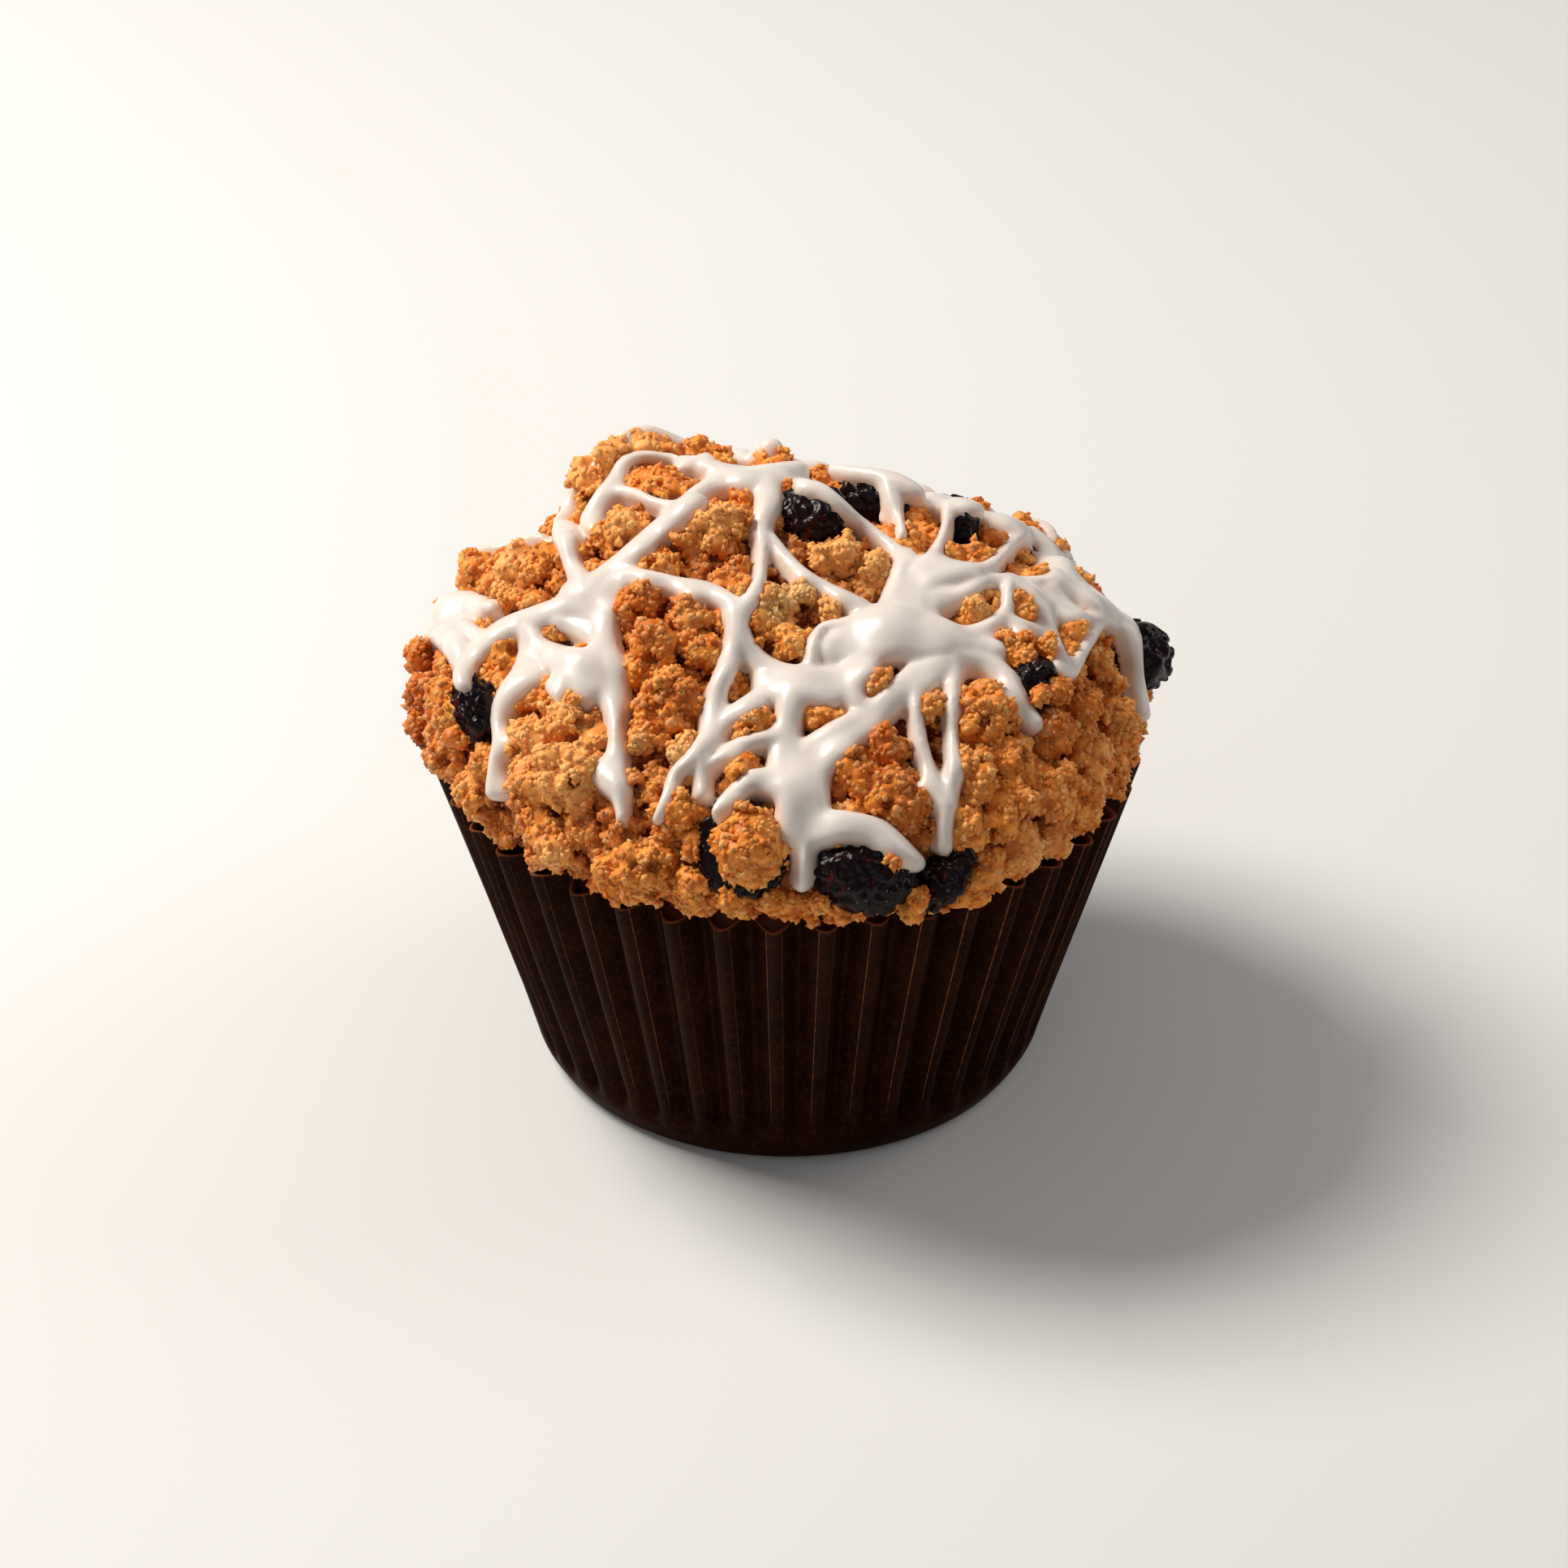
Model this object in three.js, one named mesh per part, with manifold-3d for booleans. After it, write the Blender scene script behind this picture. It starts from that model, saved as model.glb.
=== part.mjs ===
// A streusel muffin with berries and a web of sugar icing, in a pleated paper case.
// Millimetres, +Z up. The origin is the centre of the case's base and the front looks towards -Y.

import * as THREE from 'three';
import { mergeVertices } from 'three/addons/utils/BufferGeometryUtils.js';
import Module from 'manifold-3d';

// Paper case
const RIM_RADIUS = 37.5;
const BASE_RADIUS = 26.5;
const CASE_HEIGHT = 36.5;
const PAPER = 0.5;
const FLOOR_PAPER = 0.6;
const PLEATS = 43;
const PLEAT_STEPS = 4;
const PLEAT_TURN = -2.3;
const RIM_PLEAT_DEPTH = 3.4;
const FOOT_PLEAT_DEPTH = 1.5;
const PLEAT_ROUNDNESS = 1.5;
const FOOT_HEIGHT = 2.4;
const FOOT_ROUND = 1.1;
const PLEAT_START = 5.6;

// Clearance between neighbouring pieces, and the size of detail that cutting may leave
const GAP = 0.3;
const SLIVER = 0.02;

// Cake: the crown is three blended ellipsoids, each with a centre and half-axes
const CROWN = [
  { centre: [-0.8, -0.8, 40.5], axes: [37.0, 35.7, 15.5] },
  { centre: [-8.5, 4.0, 46.0], axes: [20.0, 23.0, 15.5] },
  { centre: [12.0, -2.0, 42.0], axes: [21.0, 24.0, 15.0] },
];
const CROWN_BLEND = 6.0;
const CROWN_HEART = [0.0, 0.0, 34.0];
const CRUMB_BLEND = 1.2;
const CRUMB_SETTLE = 0.5;
const UNDERSIDE_RADIUS = 36.2;
const UNDERSIDE_SLOPE = 0.9;
const CAKE_SEGMENTS = 30;
const CROWN_RINGS = 9;
const CROWN_LOWEST_ANGLE = 88;
const CAKE_TRIANGLES = 6650;
const OUTERMOST = 50;
const SPLIT_SHARE = 12;

// Icing: strands with rounded edges that run into each other and level out the crumb under them
const ICING_RISE = 1.8;
const ICING_EDGE = 0.9;
const ICING_LEVEL = 1.4;
const ICING_LEVELLING = 0.9;
const ICING_BLEND = 0.5;
const FACING_EYE = 0.12;

// Berries
const BERRY_DETAIL = 2;
const HOLLOW_DETAIL = 1;
const HOLLOW_GAP = 0.62;
const WRINKLE_DEPTH = 0.16;
const WRINKLE_FOLDS = 5;

// The picture frame that crumb, berries and icing are placed in: pixels of a 1932 x 1932 square that looks
// down on the muffin's front from this height and distance
const PICTURE_CENTRE = 966;
const PIXELS_PER_MM = 11.68;
const SIGHT_TARGET = new THREE.Vector3(-0.4, 0, 30);
const SIGHT_ELEVATION = THREE.MathUtils.degToRad(33.2);
const SIGHT_DISTANCE = 700;
const SIGHT_NEAR = 620;
const SIGHT_FAR = 770;

// Crumb lumps of the front by region: picture x and y, radius in mm, share of the radius that is sunk
const LUMPS = {
  crest: [
    [728, 585, 3.0, 0.2], [755, 560, 2.6, 0.2], [795, 552, 2.8, 0.2], [873, 556, 2.4, 0.3],
    [735, 620, 3.0, 0.3],
    [950, 562, 2.6, 0.4], [1010, 585, 2.4, 0.5], [1070, 598, 2.6, 0.4], [1130, 612, 2.5, 0.5],
    [1200, 632, 2.8, 0.4],
    [1265, 655, 2.6, 0.4], [1288, 677, 3.0, 0.2], [1318, 716, 2.6, 0.2],
  ],
  leftShoulder: [
    [588, 705, 3.2, 0.2], [648, 700, 3.6, 0.2], [625, 735, 2.8, 0.3], [560, 760, 3.2, 0.3],
    [765, 650, 3.2, 0.4],
    [720, 735, 2.8, 0.4], [865, 650, 4.4, 0.3], [905, 640, 3.0, 0.4], [912, 705, 2.4, 0.3],
    [785, 745, 2.8, 0.3],
    [850, 755, 2.9, 0.3], [808, 795, 3.2, 0.3], [862, 800, 2.6, 0.3], [825, 865, 3.9, 0.3],
  ],
  leftSide: [
    [528, 810, 3.0, 0.2], [520, 860, 3.4, 0.2], [545, 885, 3.2, 0.3], [515, 915, 3.0, 0.2],
    [548, 925, 2.8, 0.3],
    [620, 800, 3.4, 0.4], [700, 885, 4.0, 0.3], [650, 915, 3.2, 0.3], [700, 955, 4.2, 0.25],
    [655, 965, 3.2, 0.3],
    [588, 980, 2.4, 0.3],
  ],
  frontFoot: [
    [672, 1040, 3.0, 0.2], [650, 1010, 2.2, 0.3], [718, 1020, 2.2, 0.4], [790, 1072, 3.8, 0.2],
    [752, 1070, 2.6, 0.3],
    [830, 1000, 3.2, 0.4], [845, 930, 2.7, 0.3], [868, 1045, 2.6, 0.3], [850, 1090, 2.4, 0.3],
    [925, 1045, 3.7, 0.05],
  ],
  middle: [
    [1030, 682, 3.0, 0.05], [1075, 700, 2.7, 0.2], [1030, 748, 2.2, 0.4], [965, 785, 2.6, 0.4],
    [1135, 655, 2.4, 0.4],
    [1200, 752, 2.2, 0.3], [1255, 800, 3.0, 0.3], [1100, 780, 4.0, 0.5], [985, 860, 3.4, 0.5],
    [1050, 945, 3.0, 0.4],
    [1110, 985, 3.8, 0.3], [980, 980, 3.4, 0.5],
  ],
  rightSide: [
    [1290, 720, 3.0, 0.4], [1320, 780, 3.0, 0.4], [1368, 820, 2.8, 0.3], [1340, 870, 3.0, 0.3],
    [1215, 880, 3.8, 0.3],
    [1200, 955, 3.6, 0.3], [1250, 935, 3.0, 0.35], [1300, 900, 2.8, 0.3], [1380, 890, 3.0, 0.25],
    [1345, 930, 3.0, 0.3],
    [1185, 1015, 3.4, 0.25], [1245, 1000, 3.4, 0.25], [1290, 975, 3.4, 0.25], [1255, 1048, 3.0, 0.2],
    [1300, 1030, 2.6, 0.2], [1335, 985, 2.8, 0.25],
  ],
};

// Lumps of the sides and back, spread by fractions that never repeat. Heights are shares of the way up.
const SPREAD_COUNT = 300;
const SPREAD_TURN = 0.7548776662466927;
const SPREAD_RISE = 0.5698402909980532;
const SPREAD_SIZE = 0.6180339887498949;
const SPREAD_SMALLEST = 2.2;
const SPREAD_RANGE = 1.9;
const SPREAD_SUNK = 0.5;
const SPREAD_LOWEST = 0.02;
const SPREAD_HEIGHT = 0.97;
const SPREAD_LIFT = 0.9;
const SPREAD_CLEARANCE = 0.35;
const SPREAD_FLOOR = 37.0;

// Lumps in a row over the case's rim
const RIM_ROW_COUNT = 38;
const RIM_ROW_RADIUS = 34.8;
const RIM_ROW_SMALLEST = 2.0;
const RIM_ROW_RANGE = 1.0;
const RIM_ROW_STRAY = 0.5;

// Icing strands of the front: picture x and y, half-width in pixels
const FRONT_STRANDS = {
  topLoop: [[724, 640, 12], [756, 592, 11], [790, 562, 9], [850, 568, 9], [890, 572, 11]],
  crestFar: [[870, 552, 10], [925, 549, 7], [1000, 566, 9]],
  crestNear: [
    [868, 572, 11], [935, 588, 17], [1000, 576, 13], [1075, 585, 11], [1150, 614, 13], [1262, 652, 15],
  ],
  diagonal: [[885, 592, 12], [835, 630, 13], [785, 672, 12], [732, 722, 18]],
  smallLoop: [[742, 612, 9], [785, 608, 8], [832, 624, 9]],
  shoulderDrop: [[695, 656, 17], [703, 695, 12], [728, 745, 26]],
  leftArm: [[728, 740, 22], [685, 752, 17], [618, 774, 13], [578, 815, 12], [567, 838, 10]],
  leftPool: [[528, 765, 14], [545, 748, 17], [598, 746, 10]],
  leftPoolDrop: [[540, 768, 16], [567, 806, 14]],
  leftDrip: [[650, 775, 14], [645, 832, 19], [615, 885, 12], [608, 945, 10], [608, 975, 13]],
  leftBead: [[682, 846, 13], [730, 834, 24]],
  trunk: [[732, 745, 24], [742, 820, 25], [757, 880, 12], [751, 955, 19], [766, 1006, 8]],
  arch: [[742, 728, 16], [768, 709, 12], [835, 719, 11], [908, 754, 17]],
  crestDrop: [[945, 590, 18], [941, 650, 12], [937, 708, 9], [908, 756, 16]],
  slant: [[950, 662, 9], [990, 706, 9], [1062, 748, 13]],
  middleDrop: [[907, 760, 17], [884, 848, 14], [873, 910, 16], [832, 954, 11], [808, 1010, 7]],
  middleBead: [[868, 930, 12], [865, 975, 11]],
  middleLink: [[915, 790, 14], [960, 830, 16]],
  pool: [[1030, 800, 22], [1105, 775, 38], [1190, 792, 20]],
  poolRing: [[1000, 815, 12], [1003, 788, 10], [1040, 772, 14]],
  poolUp: [[1110, 765, 34], [1145, 706, 26], [1210, 702, 12], [1268, 655, 14]],
  slitTop: [[1150, 738, 18], [1212, 717, 10], [1325, 722, 11]],
  slitLow: [[1190, 786, 16], [1240, 752, 10], [1243, 714, 9]],
  sideDrop: [[1268, 720, 8], [1293, 770, 11], [1316, 828, 11]],
  sideMesh: [[1292, 745, 12], [1370, 765, 10]],
  sideTip: [[1352, 775, 9], [1322, 826, 11]],
  slantHigh: [[985, 596, 9], [1035, 620, 9], [1122, 692, 12]],
  crestFork: [[1092, 594, 14], [1112, 655, 7]],
  crestPost: [[1168, 622, 13], [1160, 664, 8], [1150, 690, 12]],
  rightEdge: [[1272, 652, 16], [1328, 722, 13], [1395, 778, 12], [1405, 838, 8], [1412, 882, 8]],
  hook: [[1180, 808, 18], [1232, 826, 14], [1276, 890, 12]],
  thinLeft: [[1128, 828, 13], [1131, 895, 10], [1163, 990, 13]],
  thinRight: [[1176, 815, 15], [1174, 925, 10], [1163, 1042, 12]],
  sweep: [
    [1160, 820, 20], [1098, 862, 18], [1010, 926, 27], [990, 990, 34], [990, 1056, 13], [988, 1090, 12],
  ],
  middleBridge: [[950, 838, 22], [1060, 832, 22]],
  middleFall: [[975, 850, 22], [975, 950, 28]],
  fingerHigh: [[955, 848, 15], [880, 905, 12]],
  fingerMiddle: [[965, 908, 14], [868, 948, 9]],
  fingerLow: [[965, 965, 22], [908, 974, 13], [880, 999, 6]],
  lowArm: [[1000, 1020, 26], [1075, 1022, 18], [1131, 1063, 12]],
};

// Icing strands of the back: turn in degrees from the front towards +X, degrees above the crown's heart,
// and half-width in mm
const BACK_STRANDS = {
  crossing: [[112, 38, 1.2], [135, 41, 1.3], [158, 39, 1.2], [186, 43, 1.4], [222, 42, 1.1], [246, 38, 1.2]],
  fallRight: [[124, 42, 1.3], [115, 28, 1.0], [119, 14, 0.9]],
  fallBack: [[158, 44, 1.5], [152, 34, 1.4], [160, 22, 1.1], [157, 12, 0.9]],
  fallMiddle: [[186, 47, 1.5], [190, 32, 1.3], [183, 20, 0.9]],
  fallLeft: [[222, 46, 1.6], [217, 30, 1.2], [221, 14, 0.9]],
  fallSide: [[246, 40, 1.1], [241, 28, 1.2], [247, 15, 0.9]],
  linkRight: [[153, 33, 1.1], [134, 28, 1.0], [116, 27, 0.9]],
  linkMiddle: [[190, 32, 1.2], [204, 27, 1.0], [218, 31, 1.2]],
  linkSide: [[219, 36, 1.1], [231, 33, 1.0], [243, 34, 1.0]],
};

// Berries of the front: picture x and y, half-axes in mm along the picture's lean, across it and inwards,
// the lean in degrees, and how far the centre lies under the crown
const FRONT_BERRIES = [
  { pixel: [1003, 642], axes: [4.0, 3.8, 3.2], lean: 0, sunk: -0.5 },
  { pixel: [1074, 626], axes: [5.0, 1.9, 3.0], lean: -38, sunk: -0.7 },
  { pixel: [1183, 657], axes: [2.1, 2.6, 2.4], lean: 0, sunk: -0.5 },
  { pixel: [1398, 810], axes: [3.7, 3.9, 3.4], lean: 0, sunk: -0.5 },
  { pixel: [1274, 838], axes: [2.5, 2.6, 2.6], lean: 0, sunk: 0.0 },
  { pixel: [588, 872], axes: [2.6, 4.4, 3.2], lean: 10, sunk: 0.3 },
  { pixel: [914, 1048], axes: [4.8, 4.8, 3.6], lean: 0, sunk: 0.2 },
  { pixel: [1066, 1079], axes: [5.4, 3.9, 3.6], lean: -8, sunk: 0.0 },
  { pixel: [1158, 1082], axes: [4.2, 1.9, 2.8], lean: 40, sunk: -0.2 },
];

// Berries of the back: turn, degrees above the heart, half-axes and depth
const BACK_BERRIES = [
  { turn: 146, rise: 20, axes: [4.4, 3.8, 3.4], sunk: 0.9 },
  { turn: 192, rise: 30, axes: [3.8, 3.6, 3.2], sunk: 0.7 },
  { turn: 232, rise: 16, axes: [4.2, 3.6, 3.4], sunk: 0.9 },
];

// The crumb ball that sits in front of one berry: its place in the list of berries and in the list of lumps
const CRADLE_BERRY = 6;
const CRADLE_BALL = LUMPS.frontFoot[9];

const wasm = await Module();
wasm.setup();

const { degToRad, lerp, smoothstep } = THREE.MathUtils;

const forward = new THREE.Vector3(0, Math.cos(SIGHT_ELEVATION), -Math.sin(SIGHT_ELEVATION));
const upward = new THREE.Vector3(0, Math.sin(SIGHT_ELEVATION), Math.cos(SIGHT_ELEVATION));
const rightward = new THREE.Vector3(1, 0, 0);
const eye = SIGHT_TARGET.clone().addScaledVector(forward, -SIGHT_DISTANCE);
const heart = new THREE.Vector3(...CROWN_HEART);

/** Merges shared corners and drops the triangles that this flattens. */
function weld(geometry) {
  geometry.deleteAttribute('normal');
  geometry.deleteAttribute('uv');
  const welded = mergeVertices(geometry, 1e-4);
  const corners = welded.index.array;
  const kept = [];
  for (let i = 0; i < corners.length; i += 3) {
    const [a, b, c] = [corners[i], corners[i + 1], corners[i + 2]];
    if (a !== b && b !== c && c !== a) {
      kept.push(a, b, c);
    }
  }
  welded.setIndex(kept);
  return welded;
}

/** Moves every corner of a geometry to where a function sends it. */
function reshape(geometry, move) {
  const position = geometry.attributes.position;
  const corner = new THREE.Vector3();
  for (let i = 0; i < position.count; i++) {
    corner.fromBufferAttribute(position, i);
    move(corner);
    position.setXYZ(i, corner.x, corner.y, corner.z);
  }
  return geometry;
}

function toSolid(geometry) {
  return new wasm.Manifold(new wasm.Mesh({
    numProp: 3,
    vertProperties: new Float32Array(geometry.attributes.position.array),
    triVerts: new Uint32Array(geometry.index.array),
  }));
}

/** The largest body of a solid, as a geometry: slivers and loose scraps left by cutting are dropped. */
function toGeometry(solid) {
  const bodies = solid.simplify(SLIVER).decompose();
  const largest = bodies.reduce((best, body) => (body.volume() > best.volume() ? body : best));
  const mesh = largest.getMesh();
  const geometry = new THREE.BufferGeometry();
  geometry.setAttribute('position', new THREE.BufferAttribute(new Float32Array(mesh.vertProperties), 3));
  geometry.setIndex(new THREE.BufferAttribute(new Uint32Array(mesh.triVerts), 1));
  return geometry;
}

function smoothMin(a, b, blend) {
  const h = Math.max(blend - Math.abs(a - b), 0) / blend;
  return Math.min(a, b) - h * h * blend * 0.25;
}

function ellipsoidDistance(point, { centre, axes }) {
  const q = [point.x - centre[0], point.y - centre[1], point.z - centre[2]].map((d, i) => d / axes[i]);
  const near = Math.hypot(...q);
  const slope = Math.hypot(...q.map((d, i) => d / axes[i]));
  return (near * (near - 1)) / Math.max(slope, 1e-9);
}

/** Signed distance to the crown without its crumb. */
function crownDistance(point) {
  return CROWN.slice(1).reduce(
    (d, part) => smoothMin(d, ellipsoidDistance(point, part), CROWN_BLEND),
    ellipsoidDistance(point, CROWN[0]),
  );
}

/** Outward direction of a distance field. */
function outward(point, distance) {
  const reach = 0.2;
  const slope = ['x', 'y', 'z'].map((axis) => {
    const ahead = point.clone();
    const behind = point.clone();
    ahead[axis] += reach;
    behind[axis] -= reach;
    return distance(ahead) - distance(behind);
  });
  return new THREE.Vector3(...slope).normalize();
}

/** Where the line of sight through a pixel meets a distance field, or passes it nearest. */
function seenAt([x, y], distance) {
  const sight = forward.clone().multiplyScalar(SIGHT_DISTANCE * PIXELS_PER_MM)
    .addScaledVector(rightward, x - PICTURE_CENTRE)
    .addScaledVector(upward, PICTURE_CENTRE - y)
    .normalize();
  let along = SIGHT_NEAR;
  let nearest = { along, gap: Infinity };
  while (along < SIGHT_FAR && nearest.gap > 0.01) {
    const gap = distance(eye.clone().addScaledVector(sight, along));
    if (gap < nearest.gap) {
      nearest = { along, gap };
    }
    along += Math.max(gap * 0.9, 0.2);
  }
  return eye.clone().addScaledVector(sight, nearest.along);
}

/** Where a ray from the crown's heart leaves a distance field. */
function leavesAt(direction, distance) {
  let along = OUTERMOST;
  let gap = distance(heart.clone().addScaledVector(direction, along));
  while (gap > 0.01 && along > 0) {
    along -= Math.max(gap * 0.8, 0.02);
    gap = distance(heart.clone().addScaledVector(direction, along));
  }
  return heart.clone().addScaledVector(direction, along);
}

/** Picture coordinates of a point. */
function pixelOf(point) {
  const sight = point.clone().sub(eye);
  const scale = (PIXELS_PER_MM * SIGHT_DISTANCE) / sight.dot(forward);
  return [PICTURE_CENTRE + sight.dot(rightward) * scale, PICTURE_CENTRE - sight.dot(upward) * scale];
}

/** Direction from the heart: turn in degrees from the front towards +X, rise in degrees above the rim. */
function towards(turn, rise) {
  const [a, b] = [degToRad(turn), degToRad(rise)];
  return new THREE.Vector3(Math.sin(a) * Math.cos(b), -Math.cos(a) * Math.cos(b), Math.sin(b));
}

/** A crumb lump, its centre sunk under the crown by a share of its radius. */
function placeLump([x, y, radius, sunk]) {
  const centre = seenAt([x, y], crownDistance);
  centre.addScaledVector(outward(centre, crownDistance), -radius * sunk);
  return { centre, radius };
}

function spreadLumps(placed) {
  const lumps = [];
  for (let i = 0; i < SPREAD_COUNT; i++) {
    const turn = 2 * Math.PI * ((i * SPREAD_TURN) % 1);
    const rise = SPREAD_LOWEST + SPREAD_HEIGHT * ((i * SPREAD_RISE) % 1);
    const radius = SPREAD_SMALLEST + SPREAD_RANGE * ((i * SPREAD_SIZE) % 1);
    const level = Math.sqrt(1 - rise * rise);
    const direction = new THREE.Vector3(Math.cos(turn) * level, Math.sin(turn) * level, rise);
    const centre = leavesAt(direction, crownDistance);
    centre.addScaledVector(direction, -radius * SPREAD_SUNK);
    centre.z = Math.max(centre.z, SPREAD_FLOOR + SPREAD_LIFT * radius);
    const clear = placed.every((l) => l.centre.distanceTo(centre) - l.radius > SPREAD_CLEARANCE * radius);
    if (clear) {
      lumps.push({ centre, radius });
    }
  }
  return lumps;
}

function rimRow() {
  return Array.from({ length: RIM_ROW_COUNT }, (_, i) => {
    const turn = (2 * Math.PI * (i + RIM_ROW_STRAY * ((i * SPREAD_RISE) % 1))) / RIM_ROW_COUNT;
    const radius = RIM_ROW_SMALLEST + RIM_ROW_RANGE * ((i * SPREAD_SIZE) % 1);
    const [x, y] = [Math.sin(turn) * RIM_ROW_RADIUS, -Math.cos(turn) * RIM_ROW_RADIUS];
    return { centre: new THREE.Vector3(x, y, SPREAD_FLOOR + SPREAD_LIFT * radius), radius };
  });
}

const frontLumps = Object.values(LUMPS).flat().map(placeLump);
const lumps = [...frontLumps, ...rimRow(), ...spreadLumps(frontLumps)];

/** Signed distance to the crown with its crumb lumps and its underside, which draws in towards the rim. */
function crumbDistance(point) {
  const lumpy = lumps.reduce(
    (d, { centre, radius }) => smoothMin(d, point.distanceTo(centre) - radius, CRUMB_BLEND),
    crownDistance(point),
  );
  const widest = UNDERSIDE_RADIUS + UNDERSIDE_SLOPE * (point.z - CASE_HEIGHT - GAP);
  const underside = (Math.hypot(point.x, point.y) - widest) / Math.hypot(1, UNDERSIDE_SLOPE);
  return Math.max(lumpy + CRUMB_SETTLE, underside);
}

/** How far inside a strand's edge a place lies, for a strand given as stops of place and half-width. */
function insetInStrand(place, stops) {
  let inset = -Infinity;
  for (let i = 0; i + 1 < stops.length; i++) {
    const [a, b] = [stops[i], stops[i + 1]];
    const run = a.at.map((start, axis) => b.at[axis] - start);
    const reach = a.at.map((start, axis) => place[axis] - start);
    const length = run.reduce((sum, d) => sum + d * d, 0);
    const share = reach.reduce((sum, d, axis) => sum + d * run[axis], 0) / length;
    const along = Math.min(Math.max(share, 0), 1);
    const gap = Math.hypot(...reach.map((d, axis) => d - run[axis] * along));
    inset = Math.max(inset, lerp(a.width, b.width, along) - gap);
  }
  return inset;
}

const frontStrands = Object.values(FRONT_STRANDS).map((stops) => stops.map(([x, y, width]) => (
  { at: [x / PIXELS_PER_MM, y / PIXELS_PER_MM], width: width / PIXELS_PER_MM }
)));

const backStrands = Object.values(BACK_STRANDS).map((stops) => stops.map(([turn, rise, width]) => (
  { at: leavesAt(towards(turn, rise), crownDistance).toArray(), width }
)));

function insetInStrands(place, strands) {
  const outset = (least, stops) => smoothMin(least, -insetInStrand(place, stops), ICING_BLEND);
  return -strands.reduce(outset, 1e3);
}

/** Thickness of the icing over a point of the crumb: where the eye sees it, the front's strands count. */
function icingOver(point) {
  const facing = outward(point, crownDistance).dot(eye.clone().sub(point).normalize());
  const seen = insetInStrands(pixelOf(point).map((pixel) => pixel / PIXELS_PER_MM), frontStrands);
  const onCrown = leavesAt(point.clone().sub(heart).normalize(), crownDistance);
  const inset = facing > FACING_EYE ? seen : insetInStrands(onCrown.toArray(), backStrands);
  const edge = 1 - Math.min(Math.max(inset / ICING_EDGE, 0), 1);
  return ICING_RISE * Math.sqrt(1 - edge * edge);
}

/** The iced surface of the crown in a direction from its heart, kept above the case's rim. */
function icedSurface(direction) {
  const surface = leavesAt(direction, crumbDistance);
  const icing = icingOver(surface);
  const levelling = ICING_LEVELLING * (ICING_LEVEL - Math.max(crownDistance(surface), 0));
  surface.addScaledVector(direction, icing + (levelling * icing) / ICING_RISE);
  surface.z = Math.max(surface.z, CASE_HEIGHT + GAP);
  return surface;
}

function pleatDepth(z) {
  const depth = lerp(FOOT_PLEAT_DEPTH, RIM_PLEAT_DEPTH, z / CASE_HEIGHT);
  return depth * smoothstep(z, FOOT_HEIGHT, PLEAT_START);
}

function ridgeRadius(z) {
  const round = FOOT_ROUND * (1 - Math.sqrt(Math.min(z / FOOT_HEIGHT, 1)));
  return lerp(BASE_RADIUS, RIM_RADIUS, z / CASE_HEIGHT) - round;
}

/** How far a turn of the wall lies behind the pleats' ridges, from 0 on a ridge to 1 in a fold. */
function foldShare(turn) {
  const phase = ((turn - degToRad(PLEAT_TURN)) * PLEATS) / 2;
  return 1 - Math.abs(Math.cos(phase)) ** PLEAT_ROUNDNESS;
}

/** The pleated cup: a lathe whose wall is pressed in between the ridges. */
function paperCase() {
  const atWall = (z, inwards) => new THREE.Vector2(ridgeRadius(z) - inwards, z);
  const outside = [0, FOOT_HEIGHT, PLEAT_START, CASE_HEIGHT].map((z) => atWall(z, 0));
  const inside = [CASE_HEIGHT, PLEAT_START, FLOOR_PAPER].map((z) => atWall(z, PAPER));
  const profile = [new THREE.Vector2(0, 0), ...outside, ...inside, new THREE.Vector2(0, FLOOR_PAPER)];
  const cup = new THREE.LatheGeometry(profile, PLEATS * PLEAT_STEPS);
  cup.rotateX(Math.PI / 2);
  cup.rotateZ(degToRad(PLEAT_TURN));
  return reshape(weld(cup), (corner) => {
    const radius = Math.hypot(corner.x, corner.y);
    if (radius > 0) {
      const turn = Math.atan2(corner.x, -corner.y);
      const scale = (radius - pleatDepth(corner.z) * foldShare(turn)) / radius;
      corner.x *= scale;
      corner.y *= scale;
    }
  });
}

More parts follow.
